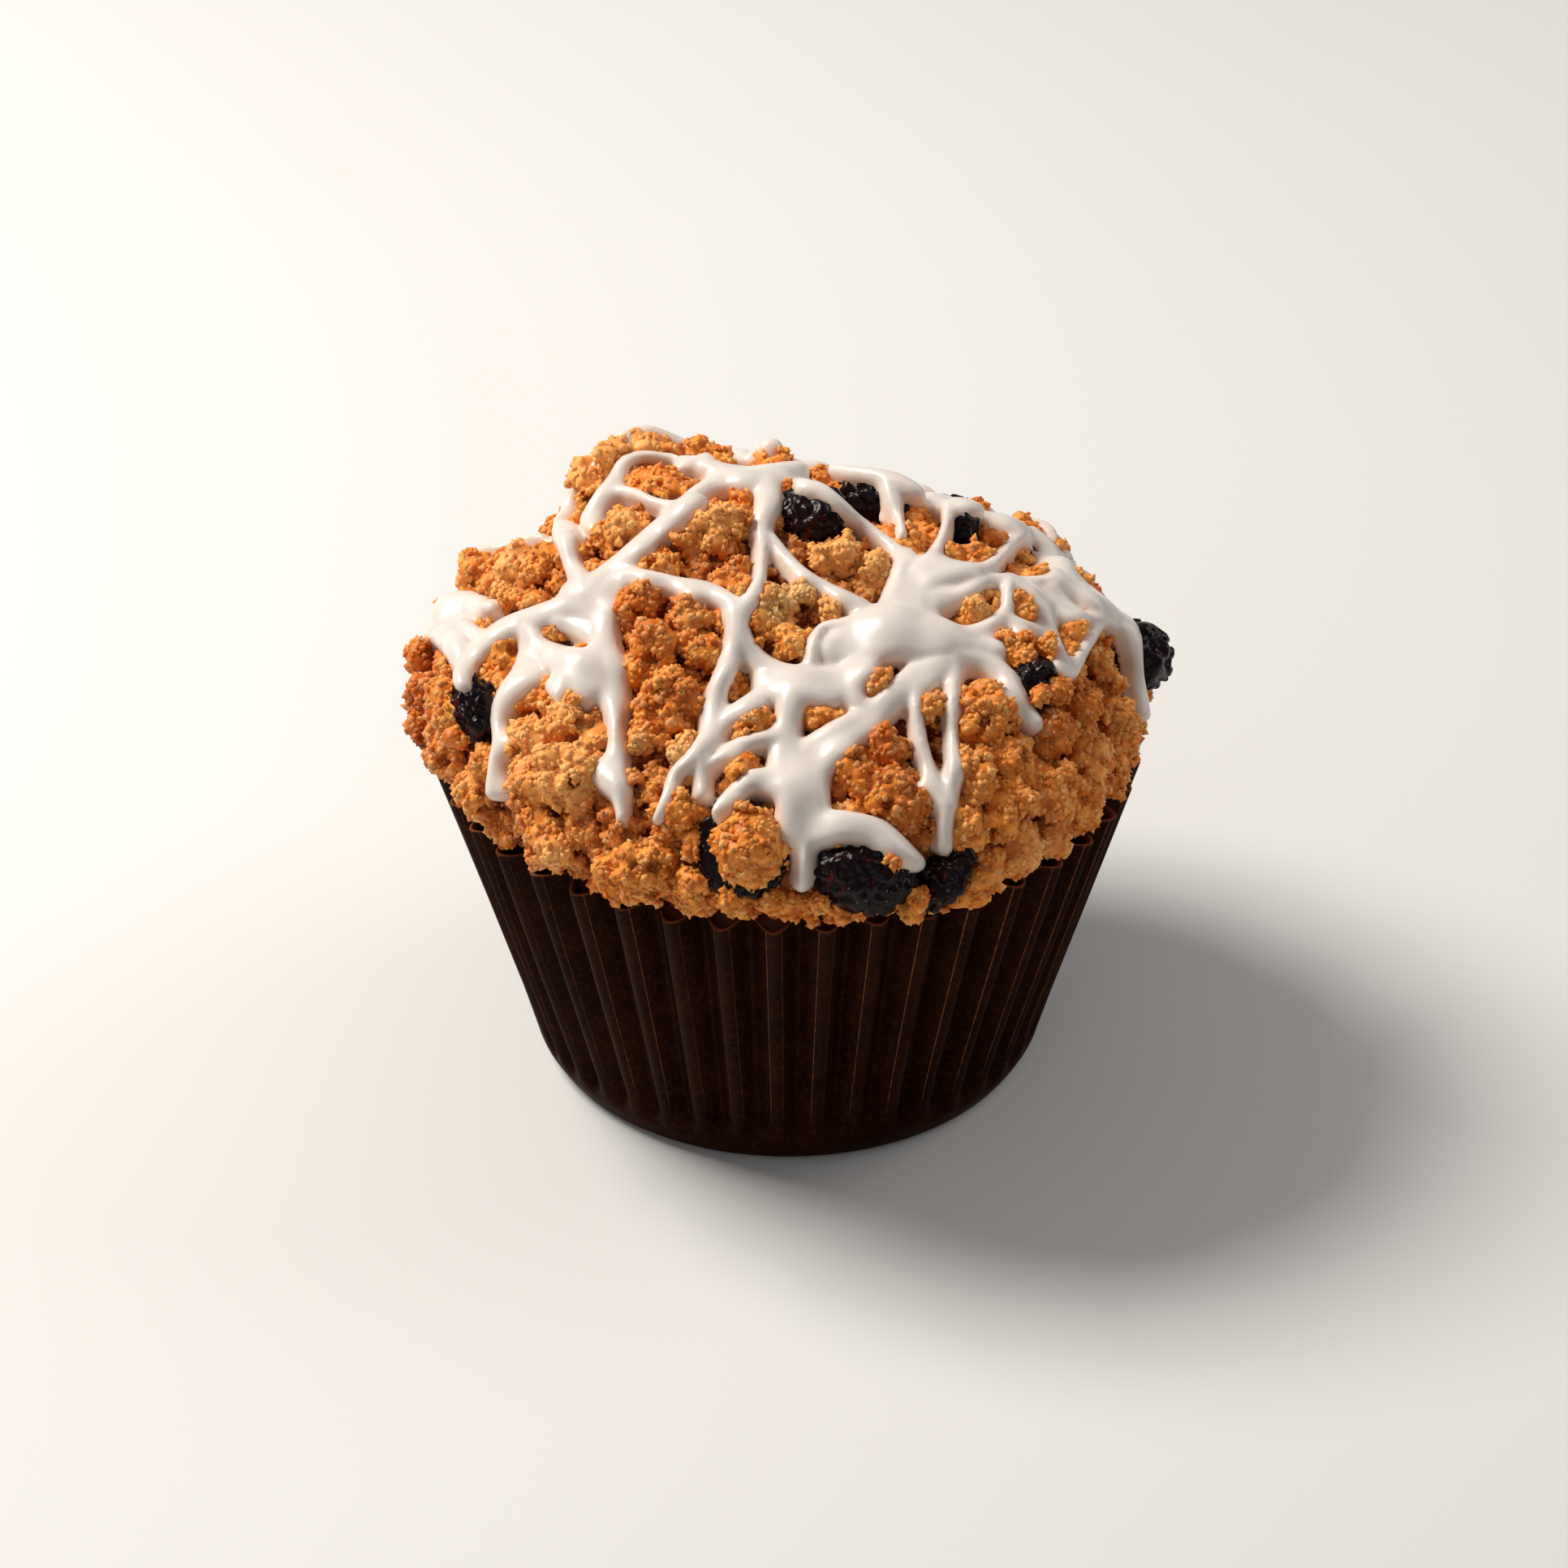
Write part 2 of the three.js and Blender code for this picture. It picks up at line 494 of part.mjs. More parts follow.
/**
 * Splits the longest edges of the crown's triangles that stray furthest from its surface, worst first,
 * until the mesh has its count of triangles. The list says of each corner whether it lies on the crown.
 */
function refineCrown(geometry, onCrown, count) {
  const corners = [];
  const position = geometry.attributes.position;
  for (let i = 0; i < position.count; i++) {
    corners.push(new THREE.Vector3().fromBufferAttribute(position, i));
  }
  const strayAt = (point) => icedSurface(point.clone().sub(heart).normalize()).distanceTo(point);
  const triangles = [];
  for (let i = 0; i < geometry.index.count; i += 3) {
    triangles.push([0, 1, 2].map((k) => geometry.index.array[i + k]));
  }
  const strays = new Map();
  const strayOf = (triangle) => {
    const key = triangle.join();
    if (!strays.has(key)) {
      const [a, b, c] = triangle.map((i) => corners[i]);
      const probes = [[a, b], [b, c], [c, a]].map(([p, q]) => p.clone().lerp(q, 0.5));
      probes.push(a.clone().add(b).add(c).divideScalar(3));
      const size = Math.sqrt(b.clone().sub(a).cross(c.clone().sub(a)).length());
      const onIt = triangle.every((i) => onCrown[i]);
      strays.set(key, onIt ? size * Math.max(...probes.map(strayAt)) : 0);
    }
    return strays.get(key);
  };
  const split = (edges, [from, to]) => {
    const middle = corners.length;
    corners.push(icedSurface(corners[from].clone().lerp(corners[to], 0.5).sub(heart).normalize()));
    onCrown.push(true);
    for (const at of [edges.get(`${from},${to}`), edges.get(`${to},${from}`)]) {
      const old = triangles[at];
      triangles[at] = old.map((i) => (i === to ? middle : i));
      triangles.push(old.map((i) => (i === from ? middle : i)));
    }
  };
  while (triangles.length < count) {
    const edges = new Map();
    triangles.forEach((t, at) => t.forEach((from, k) => edges.set(`${from},${t[(k + 1) % 3]}`, at)));
    const worst = triangles.map((t, at) => [strayOf(t), at]).sort((a, b) => b[0] - a[0]);
    const touched = new Set();
    const most = Math.ceil(triangles.length / SPLIT_SHARE);
    for (const [stray, at] of worst.slice(0, most)) {
      const triangle = triangles[at];
      const lengths = triangle.map((i, k) => corners[i].distanceTo(corners[triangle[(k + 1) % 3]]));
      const k = lengths.indexOf(Math.max(...lengths));
      const [from, to] = [triangle[k], triangle[(k + 1) % 3]];
      const neighbour = edges.get(`${to},${from}`);
      const free = stray > 0 && !touched.has(at) && !touched.has(neighbour);
      if (free && onCrown[from] && onCrown[to] && triangles.length < count) {
        touched.add(at).add(neighbour);
        split(edges, [from, to]);
      }
    }
  }
  const refined = new THREE.BufferGeometry().setFromPoints(corners);
  refined.setIndex(triangles.flat());
  return refined;
}

/** The cake: a lathe that fills the case, with its crown pushed out to the iced crumb. */
function cakeBody() {
  const wall = (z) => ridgeRadius(z) - pleatDepth(z) - PAPER - GAP;
  const bottom = FLOOR_PAPER + GAP;
  const top = CASE_HEIGHT + GAP;
  const crown = [];
  for (let i = 0; i <= CROWN_RINGS; i++) {
    const angle = degToRad((CROWN_LOWEST_ANGLE * i) / CROWN_RINGS);
    crown.push(new THREE.Vector2(Math.sin(angle) * OUTERMOST, heart.z + Math.cos(angle) * OUTERMOST));
  }
  const body = [top, PLEAT_START, bottom].map((z) => new THREE.Vector2(wall(Math.min(z, CASE_HEIGHT)), z));
  const profile = [...crown, ...body, new THREE.Vector2(0, bottom)].reverse();
  const cake = new THREE.LatheGeometry(profile, CAKE_SEGMENTS);
  cake.rotateX(Math.PI / 2);
  const onCrown = [];
  const coarse = reshape(weld(cake), (corner) => {
    onCrown.push(corner.distanceTo(heart) > OUTERMOST - 0.01);
    if (onCrown.at(-1)) {
      corner.copy(icedSurface(corner.clone().sub(heart).normalize()));
    }
  });
  return refineCrown(coarse, onCrown, CAKE_TRIANGLES);
}

/** A wrinkled berry lying in the crown, grown on all sides by a margin. */
function berryShape({ centre, facing, lean, axes, sunk }, margin, detail) {
  const berry = new THREE.IcosahedronGeometry(1, detail);
  const across = rightward.clone().addScaledVector(facing, -rightward.dot(facing)).normalize();
  across.applyAxisAngle(facing, degToRad(lean));
  const along = facing.clone().cross(across);
  return reshape(weld(berry), (corner) => {
    const wrinkle = WRINKLE_DEPTH * Math.sin(WRINKLE_FOLDS * Math.atan2(corner.y, corner.x) + 4 * corner.z);
    const grown = axes.map((axis) => axis + margin + wrinkle);
    const [u, v, w] = [corner.x * grown[0], corner.y * grown[1], corner.z * grown[2] - sunk];
    corner.copy(centre).addScaledVector(across, u).addScaledVector(along, v).addScaledVector(facing, w);
  });
}

function placeBerries() {
  const front = FRONT_BERRIES.map((berry) => {
    const centre = seenAt(berry.pixel, crownDistance);
    return { ...berry, centre, facing: outward(centre, crownDistance) };
  });
  const back = BACK_BERRIES.map((berry) => {
    const centre = leavesAt(towards(berry.turn, berry.rise), crownDistance);
    return { ...berry, lean: 0, centre, facing: outward(centre, crownDistance) };
  });
  return [...front, ...back];
}

/** The crumb ball that a berry curls round, grown by a margin. */
function cradleBall(margin) {
  const { centre, radius } = placeLump(CRADLE_BALL);
  const ball = new THREE.IcosahedronGeometry(radius + margin, BERRY_DETAIL);
  ball.translate(centre.x, centre.y, centre.z);
  return toSolid(weld(ball));
}

/** The berries and the hollows that they lie in. */
function berriesAndHollows() {
  return placeBerries().map((berry, i) => {
    const body = toSolid(berryShape(berry, 0, BERRY_DETAIL));
    if (i === CRADLE_BERRY) {
      const hollow = toSolid(berryShape(berry, GAP, BERRY_DETAIL));
      return { body: body.subtract(cradleBall(GAP)), hollow: hollow.subtract(cradleBall(0)) };
    }
    return { body, hollow: toSolid(berryShape(berry, HOLLOW_GAP, HOLLOW_DETAIL)) };
  });
}

/** The cake with a hollow for each berry. */
function hollowedCake(hollows) {
  return hollows.reduce((solid, hollow) => solid.subtract(hollow), toSolid(cakeBody()));
}

const paper = new THREE.MeshStandardMaterial({ color: 0x3a1608, roughness: 0.5, metalness: 0 });
const crumb = new THREE.MeshStandardMaterial({ color: 0xc98a45, roughness: 0.85, metalness: 0 });
const berrySkin = new THREE.MeshStandardMaterial({ color: 0x24111c, roughness: 0.4, metalness: 0 });

const muffin = new THREE.Group();

function addPiece(name, geometry, material) {
  const mesh = new THREE.Mesh(geometry, material);
  mesh.name = name;
  muffin.add(mesh);
}

const berries = berriesAndHollows();

addPiece('paper_case', paperCase(), paper);
addPiece('cake', toGeometry(hollowedCake(berries.map(({ hollow }) => hollow))), crumb);
berries.forEach(({ body }, i) => addPiece(`berry_${i + 1}`, toGeometry(body), berrySkin));

export default muffin;
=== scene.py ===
"""A streusel muffin with berries and a web of sugar icing in a pleated paper case, on a pale floor.

Shapes are worked out in millimetres in the row frame and made into meshes in metres.
"""

import math

import bpy
import numpy as np
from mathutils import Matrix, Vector, noise


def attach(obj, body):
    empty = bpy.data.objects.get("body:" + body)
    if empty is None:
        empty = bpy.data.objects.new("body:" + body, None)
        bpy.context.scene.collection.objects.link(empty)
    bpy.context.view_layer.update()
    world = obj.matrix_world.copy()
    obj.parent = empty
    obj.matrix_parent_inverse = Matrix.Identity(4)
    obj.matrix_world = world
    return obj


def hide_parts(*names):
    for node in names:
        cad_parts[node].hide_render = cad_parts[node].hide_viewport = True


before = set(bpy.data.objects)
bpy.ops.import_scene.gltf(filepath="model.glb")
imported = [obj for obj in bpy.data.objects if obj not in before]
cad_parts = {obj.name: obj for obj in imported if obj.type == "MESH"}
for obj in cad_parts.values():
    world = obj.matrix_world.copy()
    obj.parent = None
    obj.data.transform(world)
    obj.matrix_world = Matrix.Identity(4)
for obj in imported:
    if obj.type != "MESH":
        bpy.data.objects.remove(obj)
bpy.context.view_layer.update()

# Vector noise takes its seed from the clock unless it gets one
SEED = 20
rng = np.random.default_rng(SEED)
noise.seed_set(SEED)

MM = 0.001
scene = bpy.context.scene

# The picture frame that crumb, berries and icing are placed in: pixels of a 1932 x 1932 square
PICTURE = 1932
PICTURE_CENTRE = 966.0
PIXELS_PER_MM = 11.68
SIGHT_TARGET = np.array([-0.4, 0.0, 30.0])
SIGHT_ELEVATION = math.radians(33.2)
SIGHT_DISTANCE = 700.0
SIGHT_NEAR = 620.0
SIGHT_STEPS = 160
SENSOR = 36.0
FLOOR_REACH = 1500

# Paper case
RIM_RADIUS = 37.5
BASE_RADIUS = 26.5
CASE_HEIGHT = 36.5
PAPER = 0.36
PLEATS = 43
PLEAT_TURN = math.radians(-2.3)
RIM_PLEAT_DEPTH = 3.4
FOOT_PLEAT_DEPTH = 1.5
PLEAT_ROUNDNESS = 1.5
FOOT_HEIGHT = 2.4
FOOT_ROUND = 1.1
PLEAT_START = 5.6
# Thin creases to the left and right of each ridge, as shares of a pleat, with the least and most strength.
# Their strength also sets a paler colour along them, partly worn paper and partly a painted highlight where
# the ridges catch the light
CREASES = [(-0.14, 0.5, 1.0), (0.16, 0.05, 0.6)]
CREASE_WIDTH = 0.012
CREASE_RISE = 0.07
RIM_EDGE = 0.22
RIM_SLACK = 0.12
PLEAT_VARIETY = (0.86, 1.08)

# The cake's body in the case, and the height that gives it the painted shade of deep crumb
BODY_FLOOR = 0.9
BODY_TOP = 35.2
BODY_GAP = 0.8
BODY_STEPS = 96
BODY_SHADE_DEPTH = -2.4

# Crown of the cake: centre and half-axes of three blended ellipsoids
CROWN = [
    (-0.8, -0.8, 40.5, 37, 35.7, 15.5), (-8.5, 4, 46, 20, 23, 15.5),
    (12, -2, 42, 21, 24, 15),
]
CROWN_BLEND = 6.0
HEART = np.array([0.0, 0.0, 34.0])
CROWN_FLOOR = 36.8
WALL_RADIUS = 33.1
UNDERSIDE_RADIUS = 36.1
UNDERSIDE_SLOPE = 0.9

# The grid that the crown is shaped on
STEP = 0.36
GRID_LOW = np.array([-43.0, -43.0, 34.4])
GRID_HIGH = np.array([43.0, 43.0, 68.6])

# Crumb lumps seen from the front: picture x and y, radius in mm, share of the radius that is sunk
LUMPS = [
    # Crest
    (728, 585, 3, 0.2), (755, 560, 2.6, 0.2), (795, 552, 2.8, 0.2), (825, 556, 2.4, 0.3),
    (873, 556, 2.4, 0.3), (950, 562, 2.6, 0.4), (735, 620, 3, 0.3), (1010, 585, 2.4, 0.5),
    (1070, 598, 2.6, 0.4), (1130, 612, 2.5, 0.5), (1200, 632, 2.8, 0.4), (1288, 677, 3, 0.2),
    (1318, 716, 2.6, 0.2), (1265, 655, 2.6, 0.4),
    # Left shoulder
    (588, 705, 3.2, 0.2), (648, 700, 3.6, 0.2), (672, 690, 2.6, 0.3), (625, 735, 2.8, 0.3),
    (560, 760, 3.2, 0.3), (765, 650, 3.2, 0.4), (700, 680, 2.6, 0.4), (720, 735, 2.8, 0.4),
    (865, 650, 4.4, 0.3), (905, 640, 3, 0.4), (912, 705, 2.4, 0.3), (800, 690, 2.8, 0.4),
    (785, 745, 2.8, 0.3), (850, 755, 2.9, 0.3), (808, 795, 3.2, 0.3), (862, 800, 2.6, 0.3),
    (782, 820, 2.4, 0.4), (825, 865, 3.9, 0.3), (800, 900, 2.6, 0.4),
    # Left side
    (528, 810, 3, 0.2), (520, 860, 3.4, 0.2), (545, 885, 3.2, 0.3), (515, 915, 3, 0.2),
    (548, 925, 2.8, 0.3), (530, 950, 2.4, 0.2), (620, 800, 3.4, 0.4), (600, 850, 2.8, 0.5),
    (700, 885, 4, 0.3), (650, 915, 3.2, 0.3), (700, 955, 4.2, 0.25), (655, 965, 3.2, 0.3),
    (592, 940, 2.4, 0.3), (588, 980, 2.4, 0.3), (735, 905, 2.4, 0.4),
    # Front foot
    (672, 1040, 3, 0.2), (650, 1010, 2.2, 0.3), (718, 1020, 2.2, 0.4), (760, 1020, 2.4, 0.3),
    (790, 1072, 3.8, 0.2), (752, 1070, 2.6, 0.3), (830, 1000, 3.2, 0.4), (845, 930, 2.7, 0.3),
    (868, 1045, 2.6, 0.3), (850, 1090, 2.4, 0.3), (900, 1108, 2, 0.3), (950, 1112, 2.2, 0.3),
    (985, 1115, 1.8, 0.3),
    # Middle
    (1030, 682, 3, 0.05), (1075, 700, 2.7, 0.2), (1070, 662, 2, 0.3), (1030, 748, 2.2, 0.4),
    (965, 785, 2.6, 0.4), (1000, 800, 2.2, 0.4), (985, 720, 2.4, 0.6), (1135, 655, 2.4, 0.4),
    (1215, 668, 2.4, 0.4), (1200, 752, 2.2, 0.3), (1255, 800, 3, 0.3), (1100, 780, 4, 0.5),
    (1160, 790, 3, 0.5), (985, 860, 3.4, 0.5), (1080, 840, 2.6, 0.4), (1022, 885, 2.4, 0.4),
    (930, 890, 2.6, 0.3), (915, 950, 2.6, 0.3), (895, 840, 2.4, 0.4), (1050, 945, 3, 0.4),
    (1090, 925, 2.8, 0.4), (1110, 985, 3.8, 0.3), (980, 980, 3.4, 0.5), (1148, 870, 2.4, 0.4),
    # Right side
    (1290, 720, 3, 0.4), (1320, 780, 3, 0.4), (1368, 820, 2.8, 0.3), (1300, 838, 2.4, 0.3),
    (1340, 870, 3, 0.3), (1215, 880, 3.8, 0.3), (1200, 955, 3.6, 0.3), (1250, 935, 3, 0.35),
    (1300, 900, 2.8, 0.3), (1380, 890, 3, 0.25), (1345, 930, 3, 0.3), (1185, 1015, 3.4, 0.25),
    (1245, 1000, 3.4, 0.25), (1290, 975, 3.4, 0.25), (1255, 1048, 3, 0.2), (1215, 1062, 2.4, 0.3),
    (1300, 1030, 2.6, 0.2), (1335, 985, 2.8, 0.25), (1330, 1025, 1.8, 0.3), (1360, 960, 2.4, 0.25),
    (1195, 1085, 2, 0.3),
]
# The crumb ball that one berry curls round
CRADLE_BALL = (925, 1045, 3.7, 0.05)
CRADLE_FLATNESS = 0.4
CRADLE_BED = 3.5
CRADLE_HOLLOW = 3.0

# Lumps of the sides and back, spread by fractions that never repeat, and a row of them over the rim
SPREAD_COUNT = 300
SPREAD_TURN = 0.7548776662466927
SPREAD_RISE = 0.5698402909980532
SPREAD_SIZE = 0.6180339887498949
SPREAD_SUNK = 0.5
SPREAD_FLOOR = 37.0
SPREAD_STAND = 0.9
SPREAD_CLEARANCE = 0.35
RIM_ROW_COUNT = 38
RIM_ROW_RADIUS = 34.8
LUMP_BLEND = 1.2
BALL_REACH = 3.0

# Under the lumps the crown lies deeper, and the lumps are drawn in by the height of the crumbs on them
CREVICE_DEPTH = 1.1
CREVICE_BLEND = 0.5
CRUMB_SETTLE = 1.0
CRUMB_INSET = 0.4

# Crumbs on the lumps, and grains on the crumbs: radii, spacing and blend in mm
CRUMB_RADII = (0.65, 1.6)
CRUMB_SPACING = 1.6
CRUMB_BLEND = 0.15
CRUMB_BOXINESS = 2.3
PIT_RADII = (0.4, 1.0)
PIT_SPACING = 3.4
PIT_LIFT = 0.3
CRUMB_TONE = 0.35
RIM_CRUMBS = 260
RIM_CRUMB_REACH = (33.6, 36.4)
# Where the front and back pieces of the crumb part, across the axis
SPLIT = 3.0
GRAIN_RADII = (0.26, 0.6)
GRAINS = 24800
# How much more often a grain lies on the front than on the back
FRONT_SHARE = 1.7

# Icing
ICING_RISE = 1.15
ICING_EDGE = 1.5
ICING_BLEND = 7.0
ICING_DEPTH = 0.85
ICING_MIDDLE = 0.55
ICING_BED = 0.55
BED_BLUR = 10
FACING_BLUR = 12
BAND = (-2.2, 2.6)
CROWN_BAND = (-3.0, 6.0)
# Insets far from every strand, in pixels and in mm
FAR_PIXELS = -60.0
FAR = -5.0
# On this part of the crest, strands seen at a slant are narrower: least facing and loss in mm
CREST = (-12.0, 30.0)
CREST_FADE = (4, 8)
SLANTS = [(0.22, 2), (0.12, 25)]
HIDDEN_LOSS = 25

# Icing strands of the front: picture x and y, half-width in pixels
STRANDS = {
    "top loop": [
        (724, 640, 12), (738, 616, 12), (756, 592, 11), (768, 572, 10), (790, 562, 9), (820, 564, 9),
        (850, 568, 9), (872, 566, 9),
    ],
    "far crest": [
        (870, 552, 10), (892, 546, 7), (925, 549, 7), (950, 550, 6), (975, 556, 7), (1000, 566, 9),
    ],
    "near crest": [
        (868, 572, 11), (900, 584, 14), (935, 588, 17), (965, 580, 14), (1000, 576, 13), (1040, 580, 11),
        (1075, 585, 11), (1110, 596, 14), (1150, 614, 13), (1190, 622, 11), (1225, 634, 10),
        (1262, 652, 16),
    ],
    "diagonal": [
        (885, 592, 12), (858, 608, 12), (835, 630, 13), (812, 650, 13), (785, 672, 12), (758, 698, 14),
        (732, 722, 18),
    ],
    "small loop": [(742, 612, 9), (762, 604, 8), (785, 608, 8), (806, 618, 8), (832, 624, 9)],
    "shoulder drop": [(695, 656, 18), (698, 675, 13), (703, 695, 12), (716, 718, 16)],
    "left knot": [(708, 735, 22), (728, 745, 28)],
    "left arm": [
        (720, 738, 22), (685, 752, 17), (650, 762, 15), (618, 774, 13), (595, 792, 12), (578, 815, 12),
        (567, 838, 10),
    ],
    "left pool": [(534, 768, 20), (548, 750, 22), (578, 743, 17), (600, 748, 11)],
    "left pool drop": [(543, 774, 22), (560, 795, 20), (567, 820, 14), (568, 840, 11)],
    "left pool bridge": [(560, 765, 14), (588, 780, 10)],
    "left drop": [
        (650, 775, 14), (655, 800, 18), (645, 832, 19), (624, 858, 16), (615, 885, 12), (613, 915, 10),
        (608, 945, 10), (608, 975, 13),
    ],
    "left web": [(690, 765, 14), (722, 775, 14)],
    "left low web": [(660, 800, 16), (690, 812, 20), (720, 820, 24)],
    "left bead": [(682, 846, 13), (700, 832, 18), (730, 838, 26)],
    "trunk": [
        (732, 745, 24), (742, 785, 17), (742, 820, 26), (752, 850, 20), (757, 880, 12), (758, 905, 10),
        (758, 930, 14), (751, 955, 21), (762, 980, 13), (766, 1006, 8),
    ],
    "arch": [
        (742, 728, 16), (768, 709, 12), (800, 711, 11), (835, 719, 11), (868, 724, 11), (893, 737, 13),
        (908, 754, 17),
    ],
    "crest drop": [
        (945, 590, 18), (945, 618, 17), (941, 650, 12), (939, 680, 9), (937, 708, 9), (925, 738, 13),
        (908, 756, 16),
    ],
    "slant": [
        (950, 662, 9), (968, 684, 9), (990, 706, 9), (1016, 722, 9), (1040, 734, 10), (1062, 748, 13),
    ],
    "middle drop": [
        (907, 760, 17), (908, 788, 17), (897, 818, 14), (884, 848, 14), (880, 880, 16), (873, 910, 16),
        (852, 936, 12), (832, 954, 11), (821, 982, 9), (808, 1010, 7),
    ],
    "middle bead": [(864, 935, 13), (865, 975, 11)],
    "middle link": [(915, 790, 14), (936, 814, 14), (960, 830, 16)],
    "pool": [
        (1030, 800, 22), (1065, 785, 34), (1105, 775, 38), (1145, 785, 32), (1190, 792, 20),
        (1225, 800, 16),
    ],
    "pool ring": [(1000, 815, 12), (1003, 790, 10), (1015, 773, 9), (1040, 772, 14)],
    "pool rise": [
        (1110, 765, 34), (1125, 730, 30), (1145, 706, 26), (1178, 704, 16), (1210, 702, 12), (1232, 688, 9),
        (1250, 668, 10), (1268, 655, 14),
    ],
    "pool left rise": [(1105, 740, 20), (1112, 705, 14), (1118, 685, 12)],
    "slit top": [
        (1150, 738, 18), (1185, 732, 12), (1212, 717, 10), (1240, 713, 9), (1262, 716, 8), (1300, 714, 9),
        (1325, 722, 12),
    ],
    "slit foot": [(1190, 786, 16), (1218, 772, 12), (1240, 752, 10), (1242, 728, 9), (1243, 714, 9)],
    "side link": [(1238, 760, 10), (1262, 769, 8), (1290, 778, 10)],
    "side drop": [(1268, 720, 8), (1288, 742, 11), (1293, 770, 11), (1304, 800, 10), (1316, 828, 11)],
    "side mesh": [(1292, 745, 14), (1320, 758, 9), (1345, 762, 9), (1370, 765, 10)],
    "side high mesh": [(1298, 722, 12), (1312, 742, 9), (1330, 756, 8)],
    "side tip": [(1352, 775, 9), (1338, 798, 9), (1322, 826, 11)],
    "high slant": [
        (985, 596, 9), (1012, 602, 9), (1035, 620, 9), (1056, 640, 9), (1080, 658, 9), (1103, 676, 10),
        (1122, 692, 12),
    ],
    "crest fork": [(1090, 592, 10), (1098, 610, 15), (1106, 632, 9), (1112, 655, 7)],
    "crest post": [(1168, 622, 13), (1166, 642, 8), (1160, 664, 8), (1150, 688, 12)],
    "right edge": [
        (1272, 652, 17), (1290, 672, 17), (1308, 698, 16), (1328, 722, 13), (1352, 740, 13),
        (1376, 760, 13), (1395, 778, 12), (1402, 808, 9), (1405, 838, 8), (1410, 866, 8), (1412, 882, 8),
    ],
    "hook": [
        (1180, 808, 18), (1208, 812, 14), (1232, 826, 14), (1250, 850, 13), (1263, 872, 12),
        (1276, 890, 12),
    ],
    "thin left": [
        (1128, 828, 13), (1127, 860, 10), (1131, 895, 10), (1139, 930, 10), (1150, 962, 11),
        (1163, 990, 14),
    ],
    "thin right": [
        (1176, 815, 15), (1174, 850, 11), (1174, 890, 9), (1174, 925, 10), (1174, 950, 13), (1166, 985, 14),
        (1163, 1015, 10), (1163, 1042, 12),
    ],
    "sweep": [
        (1160, 820, 20), (1125, 838, 20), (1098, 862, 18), (1070, 884, 20), (1040, 904, 22),
        (1010, 926, 27), (990, 956, 34), (990, 990, 34), (992, 1020, 26), (991, 1048, 14), (990, 1072, 11),
        (988, 1090, 12),
    ],
    "middle bridge": [(950, 838, 22), (990, 842, 26), (1035, 842, 24), (1060, 820, 22)],
    "right bridge": [(1045, 845, 18), (1060, 868, 12), (1075, 876, 10)],
    "middle fall": [(975, 850, 22), (972, 885, 17), (968, 915, 20), (975, 950, 30)],
    "high finger": [(955, 848, 15), (920, 868, 13), (895, 885, 12), (880, 905, 12)],
    "middle finger": [(965, 908, 14), (935, 911, 11), (905, 920, 11), (882, 936, 9), (868, 948, 9)],
    "low finger": [(965, 965, 22), (932, 962, 17), (908, 974, 13), (890, 988, 9), (880, 999, 6)],
    "low arm": [
        (1000, 1020, 26), (1040, 1016, 20), (1075, 1022, 18), (1100, 1038, 17), (1120, 1054, 14),
        (1131, 1063, 12),
    ],
}

# Icing strands of the back: turn from the front towards +X and rise in degrees, half-width in mm
BACK_STRANDS = {
    "crossing": [
        (112, 38, 1.2), (135, 41, 1.3), (158, 39, 1.2), (186, 43, 1.4), (222, 42, 1.1), (246, 38, 1.2),
    ],
    "right fall": [(124, 42, 1.3), (115, 28, 1), (119, 14, 0.9)],
    "back fall": [(158, 44, 1.5), (152, 34, 1.4), (160, 22, 1.1), (157, 12, 0.9)],
    "middle fall": [(186, 47, 1.5), (190, 32, 1.3), (183, 20, 0.9)],
    "left fall": [(222, 46, 1.6), (217, 30, 1.2), (221, 14, 0.9)],
    "side fall": [(246, 40, 1.1), (241, 28, 1.2), (247, 15, 0.9)],
    "right link": [(153, 33, 1.1), (134, 28, 1), (116, 27, 0.9)],
    "middle link": [(190, 32, 1.2), (204, 27, 1), (218, 31, 1.2)],
    "side link": [(219, 36, 1.1), (231, 33, 1), (243, 34, 1)],
    "left wrap": [(270, 26, 2.2), (262, 23, 1.8), (256, 16, 1)],
}

# Berries of the front: picture x and y, half-axes in mm, lean in degrees and how far the centre is sunk
FRONT_BERRIES = [
    (1003, 642, 4, 3.8, 3.2, 0, -0.5), (1074, 626, 5, 1.9, 3, -38, -0.7),
    (1183, 657, 2.1, 2.6, 2.4, 0, -0.5), (1398, 810, 3.7, 3.9, 3.4, 0, -0.5),
    (1274, 838, 2.5, 2.6, 2.6, 0, 0), (588, 872, 2.6, 4.4, 3.2, 10, 0.3),
    (914, 1048, 4.8, 4.8, 3.6, 0, 0.2), (1066, 1079, 5.4, 3.9, 3.6, -8, 0),
    (1158, 1082, 4.2, 1.9, 2.8, 40, -0.2),
]
# Berries of the back: turn and rise in degrees, half-axes in mm and how far the centre is sunk
BACK_BERRIES = [
    (146, 20, 4.4, 3.8, 3.4, 0.9), (192, 30, 3.8, 3.6, 3.2, 0.7), (232, 16, 4.2, 3.6, 3.4, 1.4),
]
CRADLE_BERRY = 6
BERRY_DETAIL = 5
WRINKLE_SCALE = 0.36
WRINKLE_DEPTH = 0.6
LOBE_DEPTH = 0.16
BERRY_SWELL = 0.22
# How far the crumb overlaps the edges of some berries, in mm
BERRY_OVERLAPS = {5: 1.1, 6: 1.0, 8: 0.7, 9: 0.8}
